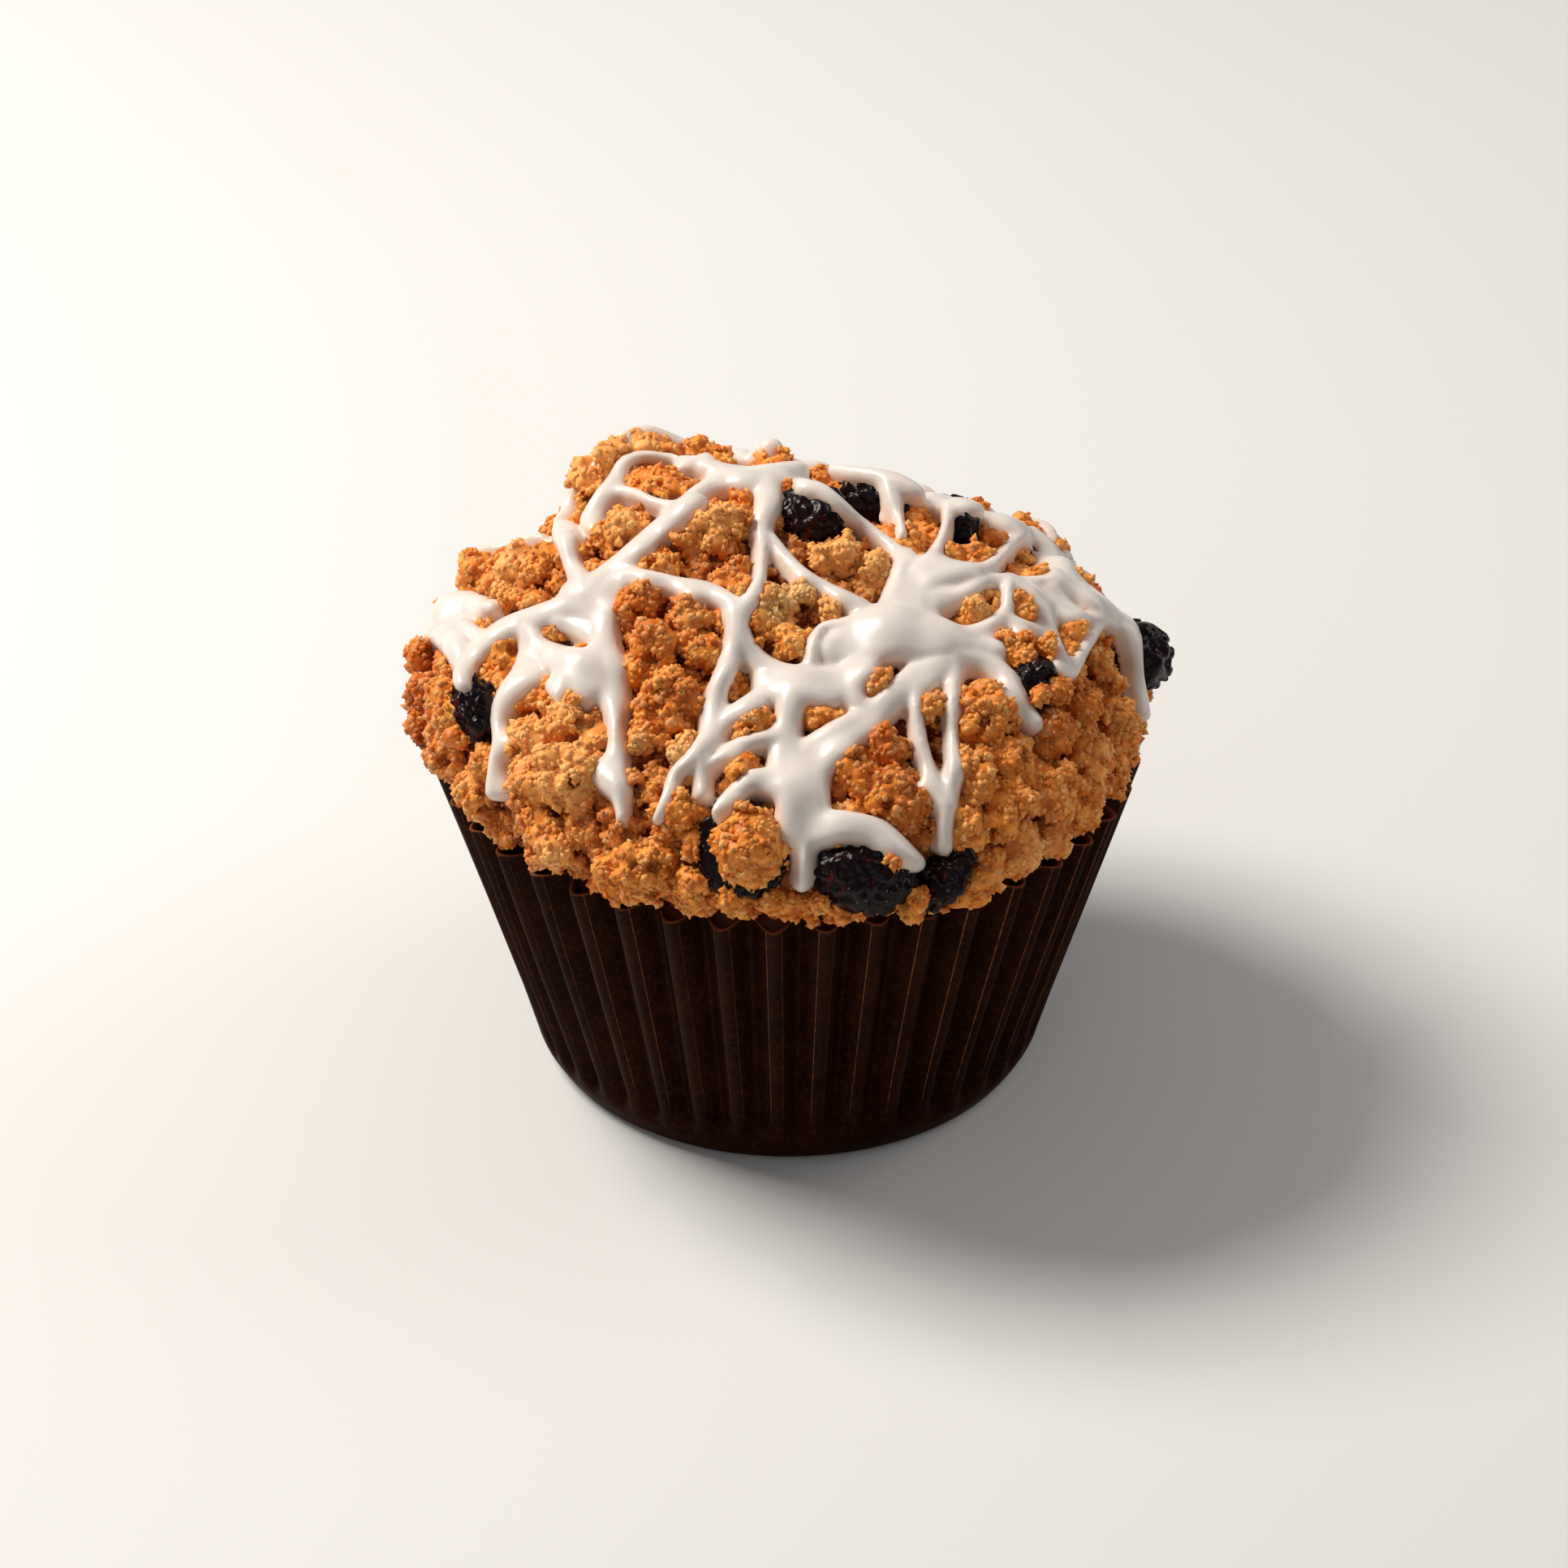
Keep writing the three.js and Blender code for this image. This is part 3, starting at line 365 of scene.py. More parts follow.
# Crumbs that lie over the edges of berries: picture x and y, radius and rise over the crown in mm
COVER_CRUMBS = [
    (1188, 1094, 1.8, 1.1), (1203, 1074, 1.5, 1.4), (1168, 1106, 1.5, 1.1), (1146, 1112, 1.2, 1.2),
    (1122, 1092, 1.2, 2.2), (1116, 1108, 1.2, 1.8), (1034, 1112, 1, 1.7), (1008, 1102, 1, 1.5),
    (1094, 1054, 0.9, 2.8), (900, 1102, 1.1, 0.8), (948, 1105, 1, 0.9), (565, 862, 1.9, 1.5),
    (567, 890, 1.9, 1.4), (574, 840, 1.3, 1.7), (572, 914, 1.5, 1.1), (1297, 832, 1.6, 1.8),
    (1294, 858, 1.5, 1.4), (1284, 808, 1.4, 1.8), (1270, 866, 1.1, 1.6),
]

# Spots of paler streusel (the larger ones high on the crown also painted light), of bare inner crumb and of
# browner streusel: picture x and y, radius in mm
SPOTS = {
    "pale_and_painted_light": [
        (735, 590, 7), (775, 562, 4.5), (640, 705, 4.5), (1030, 682, 6), (1075, 705, 5),
        (650, 930, 4), (700, 960, 4.6), (700, 885, 3.4), (865, 650, 3.6), (1205, 750, 2.6),
        (840, 940, 3.4), (1270, 1040, 3.4), (560, 975, 3), (780, 650, 3), (1060, 700, 3),
        (960, 700, 2.6), (690, 1050, 2.4),
    ],
    "inner": [(985, 740, 3.4), (820, 940, 2), (790, 935, 2.2), (1020, 990, 2), (960, 760, 2)],
    "brown": [
        (522, 860, 9), (535, 925, 8), (560, 1000, 4), (800, 770, 5), (1090, 930, 5),
        (1130, 1000, 4), (1210, 660, 4), (1110, 615, 3), (740, 1010, 3), (900, 690, 3),
        (1310, 900, 4), (850, 870, 3),
    ],
}

forward = np.array([0.0, math.cos(SIGHT_ELEVATION), -math.sin(SIGHT_ELEVATION)])
upward = np.array([0.0, math.sin(SIGHT_ELEVATION), math.cos(SIGHT_ELEVATION)])
rightward = np.array([1.0, 0.0, 0.0])
eye = SIGHT_TARGET - SIGHT_DISTANCE * forward


def smooth_min(a, b, blend):
    h = np.maximum(blend - np.abs(a - b), 0) / blend
    return np.minimum(a, b) - h * h * blend * 0.25


def length(v):
    return np.linalg.norm(v, axis=-1)


def unit(v):
    return v / np.maximum(length(v)[..., None], 1e-9)


def around(radius, turn, height):
    """Points round the axis, turned from the front towards +X."""
    return np.stack([radius * np.sin(turn), -radius * np.cos(turn), height], -1)


def crown_distance(x, y, z):
    """Signed distance to the crown without its crumb."""
    whole = None
    for cx, cy, cz, ax, ay, az in CROWN:
        qx, qy, qz = (x - cx) / ax, (y - cy) / ay, (z - cz) / az
        near = np.sqrt(qx * qx + qy * qy + qz * qz)
        slope = np.sqrt((qx / ax) ** 2 + (qy / ay) ** 2 + (qz / az) ** 2)
        part = near * (near - 1) / np.maximum(slope, 1e-9)
        whole = part if whole is None else smooth_min(whole, part, CROWN_BLEND)
    return whole


def crown_at(points):
    points = np.asarray(points, float)
    return crown_distance(points[..., 0], points[..., 1], points[..., 2])


def crown_outward(points, reach=0.2):
    slope = [crown_at(points + reach * axis) - crown_at(points - reach * axis) for axis in np.eye(3)]
    return unit(np.stack(slope, -1))


def picture_place(points):
    """Picture coordinates of points."""
    sight = points - eye
    scale = PIXELS_PER_MM * SIGHT_DISTANCE / (sight @ forward)
    return PICTURE_CENTRE + sight @ rightward * scale, PICTURE_CENTRE - sight @ upward * scale


def seen_at(px, py):
    """Where the lines of sight through picture places meet the crown, or pass it nearest."""
    px, py = np.asarray(px, float)[:, None], np.asarray(py, float)[:, None]
    sight = unit(
        forward * SIGHT_DISTANCE * PIXELS_PER_MM
        + rightward * (px - PICTURE_CENTRE)
        - upward * (py - PICTURE_CENTRE)
    )
    along = np.full(len(px), SIGHT_NEAR)
    nearest = np.full(len(px), np.inf)
    best = along.copy()
    for _ in range(SIGHT_STEPS):
        gap = crown_at(eye + sight * along[:, None])
        closer = gap < nearest
        best = np.where(closer, along, best)
        nearest = np.minimum(nearest, gap)
        along = np.where(nearest < 0.01, along, along + np.maximum(gap * 0.9, 0.2))
    return eye + sight * best[:, None]


def towards(turn, rise):
    """Directions from the heart: turn from the front towards +X and rise over the level, in degrees."""
    a, b = np.radians(turn), np.radians(rise)
    return around(np.cos(b), a, np.sin(b))


def leaves_at(directions):
    """Where rays from the heart leave the crown."""
    low = np.full(len(directions), 5.0)
    high = np.full(len(directions), 60.0)
    for _ in range(40):
        middle = (low + high) / 2
        within = crown_at(HEART + directions * middle[:, None]) < 0
        low, high = np.where(within, middle, low), np.where(within, high, middle)
    return HEART + directions * low[:, None]


# Grids over the crown

shape = np.ceil((GRID_HIGH - GRID_LOW) / STEP).astype(int) + 1
axes = [(GRID_LOW[i] + STEP * np.arange(shape[i])).astype(np.float32) for i in range(3)]


def window(centre, reach):
    """The grid's slices round a point and the offsets from it along each axis."""
    low = np.clip(np.floor((centre - reach - GRID_LOW) / STEP).astype(int), 0, shape)
    high = np.clip(np.ceil((centre + reach - GRID_LOW) / STEP).astype(int) + 1, 0, shape)
    cut = tuple(slice(a, b) for a, b in zip(low, high))
    dx, dy, dz = (axes[i][cut[i]] - np.float32(centre[i]) for i in range(3))
    return cut, dx[:, None, None], dy[None, :, None], dz[None, None, :]


def balls(centres, radii, reach):
    """Each ball's window of the grid, and the distance to the ball there."""
    for centre, radius in zip(centres, radii):
        cut, dx, dy, dz = window(centre, radius + reach)
        yield cut, np.sqrt(dx * dx + dy * dy + dz * dz) - np.float32(radius)


def add_balls(field, centres, radii, blend):
    for cut, ball in balls(centres, radii, BALL_REACH):
        field[cut] = smooth_min(field[cut], ball, blend)


def add_chunks(field, centres, radii, blend):
    """Adds boxy crumbs, each turned and stretched at random."""
    for centre, radius in zip(centres, radii):
        turn = np.linalg.qr(rng.normal(size=(3, 3)))[0].astype(np.float32)
        half = radius * rng.uniform(0.78, 1.22, 3).astype(np.float32)
        cut, dx, dy, dz = window(centre, radius * 1.35 + blend)
        total = 0
        for row, size in zip(turn, half):
            total = total + np.abs((dx * row[0] + dy * row[1] + dz * row[2]) / size) ** CRUMB_BOXINESS
        chunk = (total ** (1 / CRUMB_BOXINESS) - 1) * half.min()
        field[cut] = smooth_min(field[cut], chunk, blend)


def at(field, points):
    """A field's values at points, blended between grid places."""
    place = np.clip((points - GRID_LOW) / STEP, 0, shape - 1.001)
    cell = place.astype(int)
    share = place - cell
    value = 0
    for corner in np.ndindex(2, 2, 2):
        weight = np.prod(np.where(np.array(corner) == 1, share, 1 - share), axis=1)
        value = value + weight * field[tuple((cell + corner).T)]
    return value


def outward(field, points):
    slope = [at(field, points + STEP * axis) - at(field, points - STEP * axis) for axis in np.eye(3)]
    return unit(np.stack(slope, -1))


def blurred(field, passes):
    """A field softened by repeated averaging with its neighbours."""
    soft = field.copy()
    for _ in range(passes):
        for axis in range(3):
            inner = [slice(None)] * 3
            before, after = list(inner), list(inner)
            inner[axis], before[axis], after[axis] = slice(1, -1), slice(0, -2), slice(2, None)
            soft[tuple(inner)] = (soft[tuple(before)] + 2 * soft[tuple(inner)] + soft[tuple(after)]) / 4
    return soft


def skin(field, step=STEP):
    """Corners and quads of a field's zero surface, one corner in each cell that it crosses."""
    inside = field < 0
    nx, ny, nz = field.shape
    count = np.zeros((nx - 1, ny - 1, nz - 1), np.uint8)
    for i, j, k in np.ndindex(2, 2, 2):
        count += inside[i:nx - 1 + i, j:ny - 1 + j, k:nz - 1 + k]
    cells = np.argwhere((count > 0) & (count < 8))
    index = np.full(count.shape, -1, np.int32)
    index[tuple(cells.T)] = np.arange(len(cells))
    total, hits = np.zeros((len(cells), 3)), np.zeros(len(cells))
    for axis in range(3):
        along = np.eye(3, dtype=int)[axis]
        for i, j in np.ndindex(2, 2):
            start = np.insert([i, j], axis, 0)
            a, b = field[tuple((cells + start).T)], field[tuple((cells + start + along).T)]
            crossed = (a < 0) != (b < 0)
            share = np.where(crossed, a / np.where(crossed, a - b, 1), 0)
            total += crossed[:, None] * (start + share[:, None] * along)
            hits += crossed
    corners = GRID_LOW + step * (cells + total / hits[:, None])
    quads = []
    for axis in range(3):
        u, v = np.eye(3, dtype=int)[(axis + 1) % 3], np.eye(3, dtype=int)[(axis + 2) % 3]
        first = inside[tuple(slice(0, -1) if i == axis else slice(1, -1) for i in range(3))]
        second = inside[tuple(slice(1, None) if i == axis else slice(1, -1) for i in range(3))]
        start = np.argwhere(first != second)
        outwards = first[tuple(start.T)]
        start = start + 1 - np.eye(3, dtype=int)[axis]
        ring = np.stack([index[tuple((start - o).T)] for o in (0 * u, u, u + v, v)], 1)
        quads.append(np.where(outwards[:, None], ring, ring[:, ::-1]))
    return corners, np.concatenate(quads)


def spaced(points, spacing):
    """One point of each cell of a coarse grid, chosen at random."""
    mixed = points[rng.permutation(len(points))]
    keys = np.floor(mixed / spacing).astype(int)
    return mixed[np.unique(keys, axis=0, return_index=True)[1]]


# Crumb

def place_lumps():
    rows = np.array(LUMPS)
    seen = seen_at(rows[:, 0], rows[:, 1])
    front = seen - crown_outward(seen) * (rows[:, 2] * rows[:, 3])[:, None]
    i = np.arange(RIM_ROW_COUNT)
    turn = 2 * np.pi * (i + 0.5 * ((i * SPREAD_RISE) % 1)) / RIM_ROW_COUNT
    rim_radii = 2.0 + (i * SPREAD_SIZE) % 1
    rim = around(RIM_ROW_RADIUS, turn, SPREAD_FLOOR + SPREAD_STAND * rim_radii)
    i = np.arange(SPREAD_COUNT)
    turn = 2 * np.pi * ((i * SPREAD_TURN) % 1)
    rise = 0.02 + 0.97 * ((i * SPREAD_RISE) % 1)
    radii = 2.2 + 1.9 * ((i * SPREAD_SIZE) % 1)
    level = np.sqrt(1 - rise * rise)
    spread = leaves_at(np.stack([np.cos(turn) * level, np.sin(turn) * level, rise], -1))
    spread -= unit(spread - HEART) * (SPREAD_SUNK * radii)[:, None]
    spread[:, 2] = np.maximum(spread[:, 2], SPREAD_FLOOR + SPREAD_STAND * radii)
    gap = length(spread[:, None] - front[None]) - rows[:, 2]
    clear = gap.min(1) > SPREAD_CLEARANCE * radii
    centres = np.concatenate([front, rim, spread[clear]])
    return centres, np.concatenate([rows[:, 2], rim_radii, radii[clear]])


def place_berries():
    """Centre, outward direction, sideways direction, upward direction and half-axes of each berry."""
    front, back = np.array(FRONT_BERRIES), np.array(BACK_BERRIES)
    behind = leaves_at(towards(back[:, 0], back[:, 1]))
    centres = np.concatenate([seen_at(front[:, 0], front[:, 1]), behind])
    half = np.concatenate([front[:, 2:5], back[:, 2:5]])
    lean = np.radians(np.concatenate([front[:, 5], np.zeros(len(back))]))
    sunk = np.concatenate([front[:, 6], back[:, 5]])
    facing = crown_outward(centres)
    level = unit(rightward - facing * (facing @ rightward)[:, None])
    across = level * np.cos(lean)[:, None] + np.cross(facing, level) * np.sin(lean)[:, None]
    return centres - facing * sunk[:, None], facing, across, np.cross(facing, across), half


def berry_field(berry, cut, dx, dy, dz, way=None):
    """Distance to a berry's ellipsoid on a window of the grid, or to what it sweeps along a way."""
    _, facing, across, along, half = berry
    u, v, w = ((dx * d[0] + dy * d[1] + dz * d[2]) / size for d, size in zip((across, along, facing), half))
    if way is not None:
        a, b, c = (way @ d / size for d, size in zip((across, along, facing), half))
        forth = np.maximum((u * a + v * b + w * c) / (a * a + b * b + c * c), 0)
        u, v, w = u - forth * a, v - forth * b, w - forth * c
    near = np.sqrt(u * u + v * v + w * w)
    return ((near - 1) * half.min()).astype(np.float32)


grid = np.meshgrid(*axes, indexing="ij", sparse=True)
crown = crown_distance(*grid).astype(np.float32)

lump_centres, lump_radii = place_lumps()
ball_seen = seen_at([CRADLE_BALL[0]], [CRADLE_BALL[1]])
ball_centre = ball_seen - crown_outward(ball_seen) * CRADLE_BALL[2] * CRADLE_BALL[3]
berries = list(zip(*place_berries()))

lumpy = crown.copy()
add_balls(lumpy, lump_centres, lump_radii, LUMP_BLEND)
add_balls(lumpy, ball_centre, [CRADLE_BALL[2]], 0.3)

# Below the rim the crumb fills the case, and over it the crown's underside draws in
radius = np.sqrt(grid[0] ** 2 + grid[1] ** 2)
underside = radius - UNDERSIDE_RADIUS - UNDERSIDE_SLOPE * (grid[2] - CROWN_FLOOR)
underside = (underside / math.hypot(1, UNDERSIDE_SLOPE)).astype(np.float32)


crumb = crown + np.float32(CREVICE_DEPTH)
add_balls(crumb, lump_centres, lump_radii, CREVICE_BLEND)
add_balls(crumb, ball_centre, [CRADLE_BED + CRUMB_SETTLE], CREVICE_BLEND)
crumb = np.maximum(crumb + np.float32(CRUMB_SETTLE), underside + np.float32(CRUMB_INSET))
bed = skin(crumb[::2, ::2, ::2], 2 * STEP)[0]
bed = bed[bed[:, 2] > CROWN_FLOOR - 0.2]
seats = spaced(bed, CRUMB_SPACING)
radii = CRUMB_RADII[0] + (CRUMB_RADII[1] - CRUMB_RADII[0]) * rng.beta(1.3, 2.4, len(seats))
seats = seats - outward(crumb, seats) * (radii * rng.uniform(-0.2, 0.5, len(seats)))[:, None]
pits = spaced(bed, PIT_SPACING)
pits = pits[length(pits - ball_centre) > CRADLE_BALL[2] + PIT_RADII[1]]
pits = pits + outward(crumb, pits) * PIT_LIFT
add_chunks(crumb, seats, radii, CRUMB_BLEND)
for cut, pit in balls(pits, rng.uniform(*PIT_RADII, len(pits)), STEP):
    crumb[cut] = np.maximum(crumb[cut], -pit)

# Loose crumbs that spill to the edge of the case
turns = 2 * np.pi * rng.uniform(0, 1, RIM_CRUMBS)
reach = rng.uniform(*RIM_CRUMB_REACH, RIM_CRUMBS)
radii = rng.uniform(0.45, 1.1, RIM_CRUMBS)
level = CASE_HEIGHT + 0.1 + 1.15 * radii + rng.uniform(0, 0.8, RIM_CRUMBS)
add_chunks(crumb, around(reach, turns, level), radii, CRUMB_BLEND)

# Berries lie in hollows that are open above them; one curls round a crumb ball
under_icing = lumpy + np.float32(ICING_BED)
for i, berry in enumerate(berries):
    cut, dx, dy, dz = window(berry[0], berry[4].max() + 6)
    overlap = BERRY_OVERLAPS.get(i + 1, 0.35)
    hollow = berry_field(berry, cut, dx, dy, dz, berry[1]) + overlap
    if i < len(FRONT_BERRIES):
        sight = berry_field(berry, cut, dx, dy, dz, unit(eye - berry[0])) + overlap + 0.1
        hollow = np.minimum(hollow, sight)
    if i == CRADLE_BERRY:
        gaps = [axes[a][cut[a]] - ball_centre[0][a] for a in range(3)]
        gaps = np.meshgrid(*gaps, indexing="ij", sparse=True)
        hollow = np.maximum(hollow, CRADLE_BALL[2] + 0.4 - np.sqrt(sum(gap * gap for gap in gaps)))
    crumb[cut] = np.maximum(crumb[cut], -hollow)
    under_icing[cut] = smooth_min(under_icing[cut], berry_field(berry, cut, dx, dy, dz), 0.8)
covers = np.array(COVER_CRUMBS)
seen = seen_at(covers[:, 0], covers[:, 1])
add_chunks(crumb, seen + crown_outward(seen) * covers[:, 3:], covers[:, 2], CRUMB_BLEND)


# Icing

def curved(stops, steps):
    """Stops with more of them in between, on a curve that passes through them all."""
    rows = np.array(stops, float)
    rows = np.concatenate([2 * rows[:1] - rows[1:2], rows, 2 * rows[-1:] - rows[-2:-1]])
    share = np.arange(steps)[:, None] / steps
    parts = []
    for a, b, c, d in zip(rows, rows[1:], rows[2:], rows[3:]):
        bend = (2 * a - 5 * b + 4 * c - d) * share ** 2 + (3 * b - a - 3 * c + d) * share ** 3
        parts.append(b + 0.5 * ((c - a) * share + bend))
    return np.concatenate([*parts, rows[-2:-1]])


def strand_inset(px, py, stops):
    """How far inside a strand's edge picture places lie, in pixels."""
    inset = np.full(px.shape, -1e3)
    for (ax, ay, aw), (bx, by, bw) in zip(stops, stops[1:]):
        run = np.array([bx - ax, by - ay], float)
        along = np.clip(((px - ax) * run[0] + (py - ay) * run[1]) / (run @ run), 0, 1)
        gap = np.hypot(px - ax - run[0] * along, py - ay - run[1] * along)
        inset = np.maximum(inset, aw + (bw - aw) * along - gap)
    return inset


def picture_inset():
    """Inset of every picture place in the front's strands, which run into each other."""
    py, px = np.mgrid[0:PICTURE, 0:PICTURE].astype(np.float32)
    whole = np.full((PICTURE, PICTURE), FAR_PIXELS, np.float32)
    for stops in STRANDS.values():
        rows = curved(stops, 4)
        x0, y0 = (rows[:, :2].min(0) + FAR_PIXELS).astype(int)
        x1, y1 = (rows[:, :2].max(0) - FAR_PIXELS).astype(int)
        part = whole[y0:y1, x0:x1]
        inset = strand_inset(px[y0:y1, x0:x1], py[y0:y1, x0:x1], rows)
        whole[y0:y1, x0:x1] = -smooth_min(-part, -inset, ICING_BLEND)
    return whole


def back_inset(points):
    """Inset of points in the back's strands, in mm."""
    whole = np.full(len(points), FAR)
    for stops in BACK_STRANDS.values():
        turns, rises, widths = curved(stops, 5).T
        spine = leaves_at(towards(turns, rises))
        inset = np.full(len(points), FAR)
        for a, b, wa, wb in zip(spine, spine[1:], widths, widths[1:]):
            along = np.clip((points - a) @ (b - a) / ((b - a) @ (b - a)), 0, 1)
            gap = length(points - a - along[:, None] * (b - a))
            inset = np.maximum(inset, wa + (wb - wa) * along - gap)
        whole = -smooth_min(-whole, -inset, ICING_BLEND / PIXELS_PER_MM)
    return whole


smooth_bed = blurred(under_icing, BED_BLUR)
banded = (smooth_bed > BAND[0]) & (smooth_bed < BAND[1])
near = np.argwhere(banded & (crown > CROWN_BAND[0]) & (crown < CROWN_BAND[1]))
places = GRID_LOW + STEP * near
cells = tuple(near.T)
heights = smooth_bed[cells]
facing_out, bed_out = (
    unit(np.stack([slope[cells] for slope in np.gradient(field)], -1))
    for field in (crown, blurred(smooth_bed, FACING_BLUR))
)
feet = places - bed_out * (heights - ICING_MIDDLE)[:, None]
sight_lines = unit(eye - feet)
facing_eye = (facing_out * sight_lines).sum(1)
px, py = picture_place(feet)
inset_picture = picture_inset()
ix, iy = np.clip(px, 0, PICTURE - 2), np.clip(py, 0, PICTURE - 2)
jx, jy = ix.astype(int), iy.astype(int)
sx, sy = ix - jx, iy - jy
front_inset = (
    (inset_picture[jy, jx] * (1 - sx) + inset_picture[jy, jx + 1] * sx) * (1 - sy)
    + (inset_picture[jy + 1, jx] * (1 - sx) + inset_picture[jy + 1, jx + 1] * sx) * sy
) / PIXELS_PER_MM
middle = np.clip((feet[:, 0] - CREST[0]) / CREST_FADE[0], 0, 1)
middle = middle * np.clip((CREST[1] - feet[:, 0]) / CREST_FADE[1], 0, 1)
slanted = middle * sum(np.maximum(least - facing_eye, 0) * loss for least, loss in SLANTS)
front_inset = np.where(facing_eye > 0, front_inset - slanted, FAR)
far_side = places[:, 1] > -12.0
on_crown = (feet - facing_out * crown_at(feet)[:, None])[far_side]
inset = front_inset.copy()
hidden_inset = back_inset(on_crown) - np.maximum(facing_eye[far_side], 0) * HIDDEN_LOSS
inset[far_side] = np.maximum(inset[far_side], hidden_inset)
edge = 1 - np.clip(inset / ICING_EDGE, 0, 1)
rise = np.where(inset > 0, ICING_RISE * np.sqrt(1 - edge * edge), 5 * inset)
lumpy_height = under_icing[cells]
top = np.minimum(heights - rise, lumpy_height - 0.45 * rise)
bottom = -(heights + ICING_DEPTH)
icing = np.full(shape, 3.0, np.float32)
icing[cells] = np.maximum(top, bottom)
icing = np.maximum(icing, (CROWN_FLOOR - 1.5 - grid[2]).astype(np.float32))

# The crumb stays under the icing and just clear of its edges
allowed = np.full(shape, 4.0, np.float32)
allowed[cells] = np.interp(inset, [-0.15, 0.1, 0.4], [3.0, 0.25, -0.25])
crumb = np.maximum(crumb, smooth_bed - allowed)

crumb = np.maximum(crumb, np.minimum(CROWN_FLOOR - grid[2], radius - WALL_RADIUS).astype(np.float32))


# Meshes

def add_object(name, data):
    thing = bpy.data.objects.new(name, data)
    scene.collection.objects.link(thing)
    return thing


def add_mesh(name, corners, faces, material, uv=None, **values):
    """A smooth mesh, with values for its corners and a map for the faces' corners."""
    mesh = bpy.data.meshes.new(name)
    mesh.from_pydata((np.asarray(corners) * MM).tolist(), [], np.asarray(faces).tolist())
    mesh.shade_smooth()
    for key, value in values.items():
        layer = mesh.attributes.new(key, "FLOAT", "POINT")
        layer.data.foreach_set("value", np.asarray(value, np.float32))
    if uv is not None:
        layer = mesh.uv_layers.new(name="OFBake")
        layer.data.foreach_set("uv", np.asarray(uv, np.float32).ravel())
    mesh.materials.append(material)
    return add_object(name, mesh)


def dome_map(corners, faces):
    """A map that lays the crown out as a disc seen from above."""
    way = unit(corners - HEART)
    lean = np.arccos(np.clip(way[:, 2], -1, 1)) / math.radians(125)
    turn = np.arctan2(way[:, 1], way[:, 0])
    flat = 0.5 + 0.5 * np.stack([lean * np.cos(turn), lean * np.sin(turn)], -1)
    return flat[np.asarray(faces).ravel()]


def near_spots(points, spots):
    """How close points are to any of the spots seen in the picture, from 0 to 1."""
    rows = np.array(spots, float)
    centres = seen_at(rows[:, 0], rows[:, 1])
    centres = centres + crown_outward(centres) * 1.5
    close = np.zeros(len(points))
    for centre, size in zip(centres, rows[:, 2]):
        gap = length(points - centre) / size
        close = np.maximum(close, np.clip(1.35 - gap, 0, 1))
    return close


def kept(corners, faces, choice):
    """The chosen faces and the corners that they use."""
    faces = faces[choice]
    used, renumbered = np.unique(faces, return_inverse=True)
    return corners[used], renumbered.reshape(faces.shape)


class Nodes:
    """Builds a material's nodes."""

    def __init__(self, name):
        self.material = bpy.data.materials.new(name)
        self.material.use_nodes = True
        self.tree = self.material.node_tree
        self.shader = self.tree.nodes["Principled BSDF"]
        self.place = self.add("ShaderNodeTexCoord").outputs["Object"]

    def add(self, kind, inputs=None, **settings):
        node = self.tree.nodes.new(kind)
        for key, value in settings.items():
            setattr(node, key, value)
        for key, value in (inputs or {}).items():
            self.put(node.inputs[key], value)
        return node

    def put(self, socket, value):
        if isinstance(value, bpy.types.NodeSocket):
            self.tree.links.new(value, socket)
        else:
            socket.default_value = value

    def noise(self, scale, detail=3.0, roughness=0.55, distortion=0.0):
        """Noise whose scale is in waves per mm."""
        inputs = {"Vector": self.place, "Scale": scale / MM, "Detail": detail, "Roughness": roughness}
        return self.add("ShaderNodeTexNoise", {**inputs, "Distortion": distortion}).outputs["Fac"]

    def cells(self, scale):
        inputs = {"Vector": self.place, "Scale": scale / MM}
        return self.add("ShaderNodeTexVoronoi", inputs).outputs["Distance"]

    def value(self, name):
        return self.add("ShaderNodeAttribute", attribute_name=name).outputs["Fac"]

    def ramp(self, value, low, high, to_low=0.0, to_high=1.0):
        inputs = {"Value": value, "From Min": low, "From Max": high, "To Min": to_low, "To Max": to_high}
        return self.add("ShaderNodeMapRange", inputs).outputs["Result"]

    def times(self, a, b):
        return self.add("ShaderNodeMath", {0: a, 1: b}, operation="MULTIPLY").outputs[0]

    def mix(self, share, a, b):
        return self.add("ShaderNodeMix", {0: share, 6: a, 7: b}, data_type="RGBA").outputs[2]

    def bump(self, height, strength, distance):
        inputs = {"Height": height, "Strength": strength, "Distance": distance * MM}
        self.put(self.shader.inputs["Normal"], self.add("ShaderNodeBump", inputs).outputs["Normal"])

    def tint(self, share, *levels):
        """Lays a colour over the material's colour so far."""
        self.colour = self.mix(share, self.colour, rgb(*levels))

    def finish(self, roughness, **fixed):
        self.put(self.shader.inputs["Base Color"], self.colour)
        self.put(self.shader.inputs["Roughness"], roughness)
        for key, value in fixed.items():
            self.shader.inputs[key.replace("_", " ")].default_value = value
        return self.material


def rgb(*levels):
    """An sRGB colour of 0 to 255 as linear light."""
    light = [((c / 255 + 0.055) / 1.055) ** 2.4 if c > 10 else c / 255 / 12.92 for c in levels]
    return (*light, 1.0)


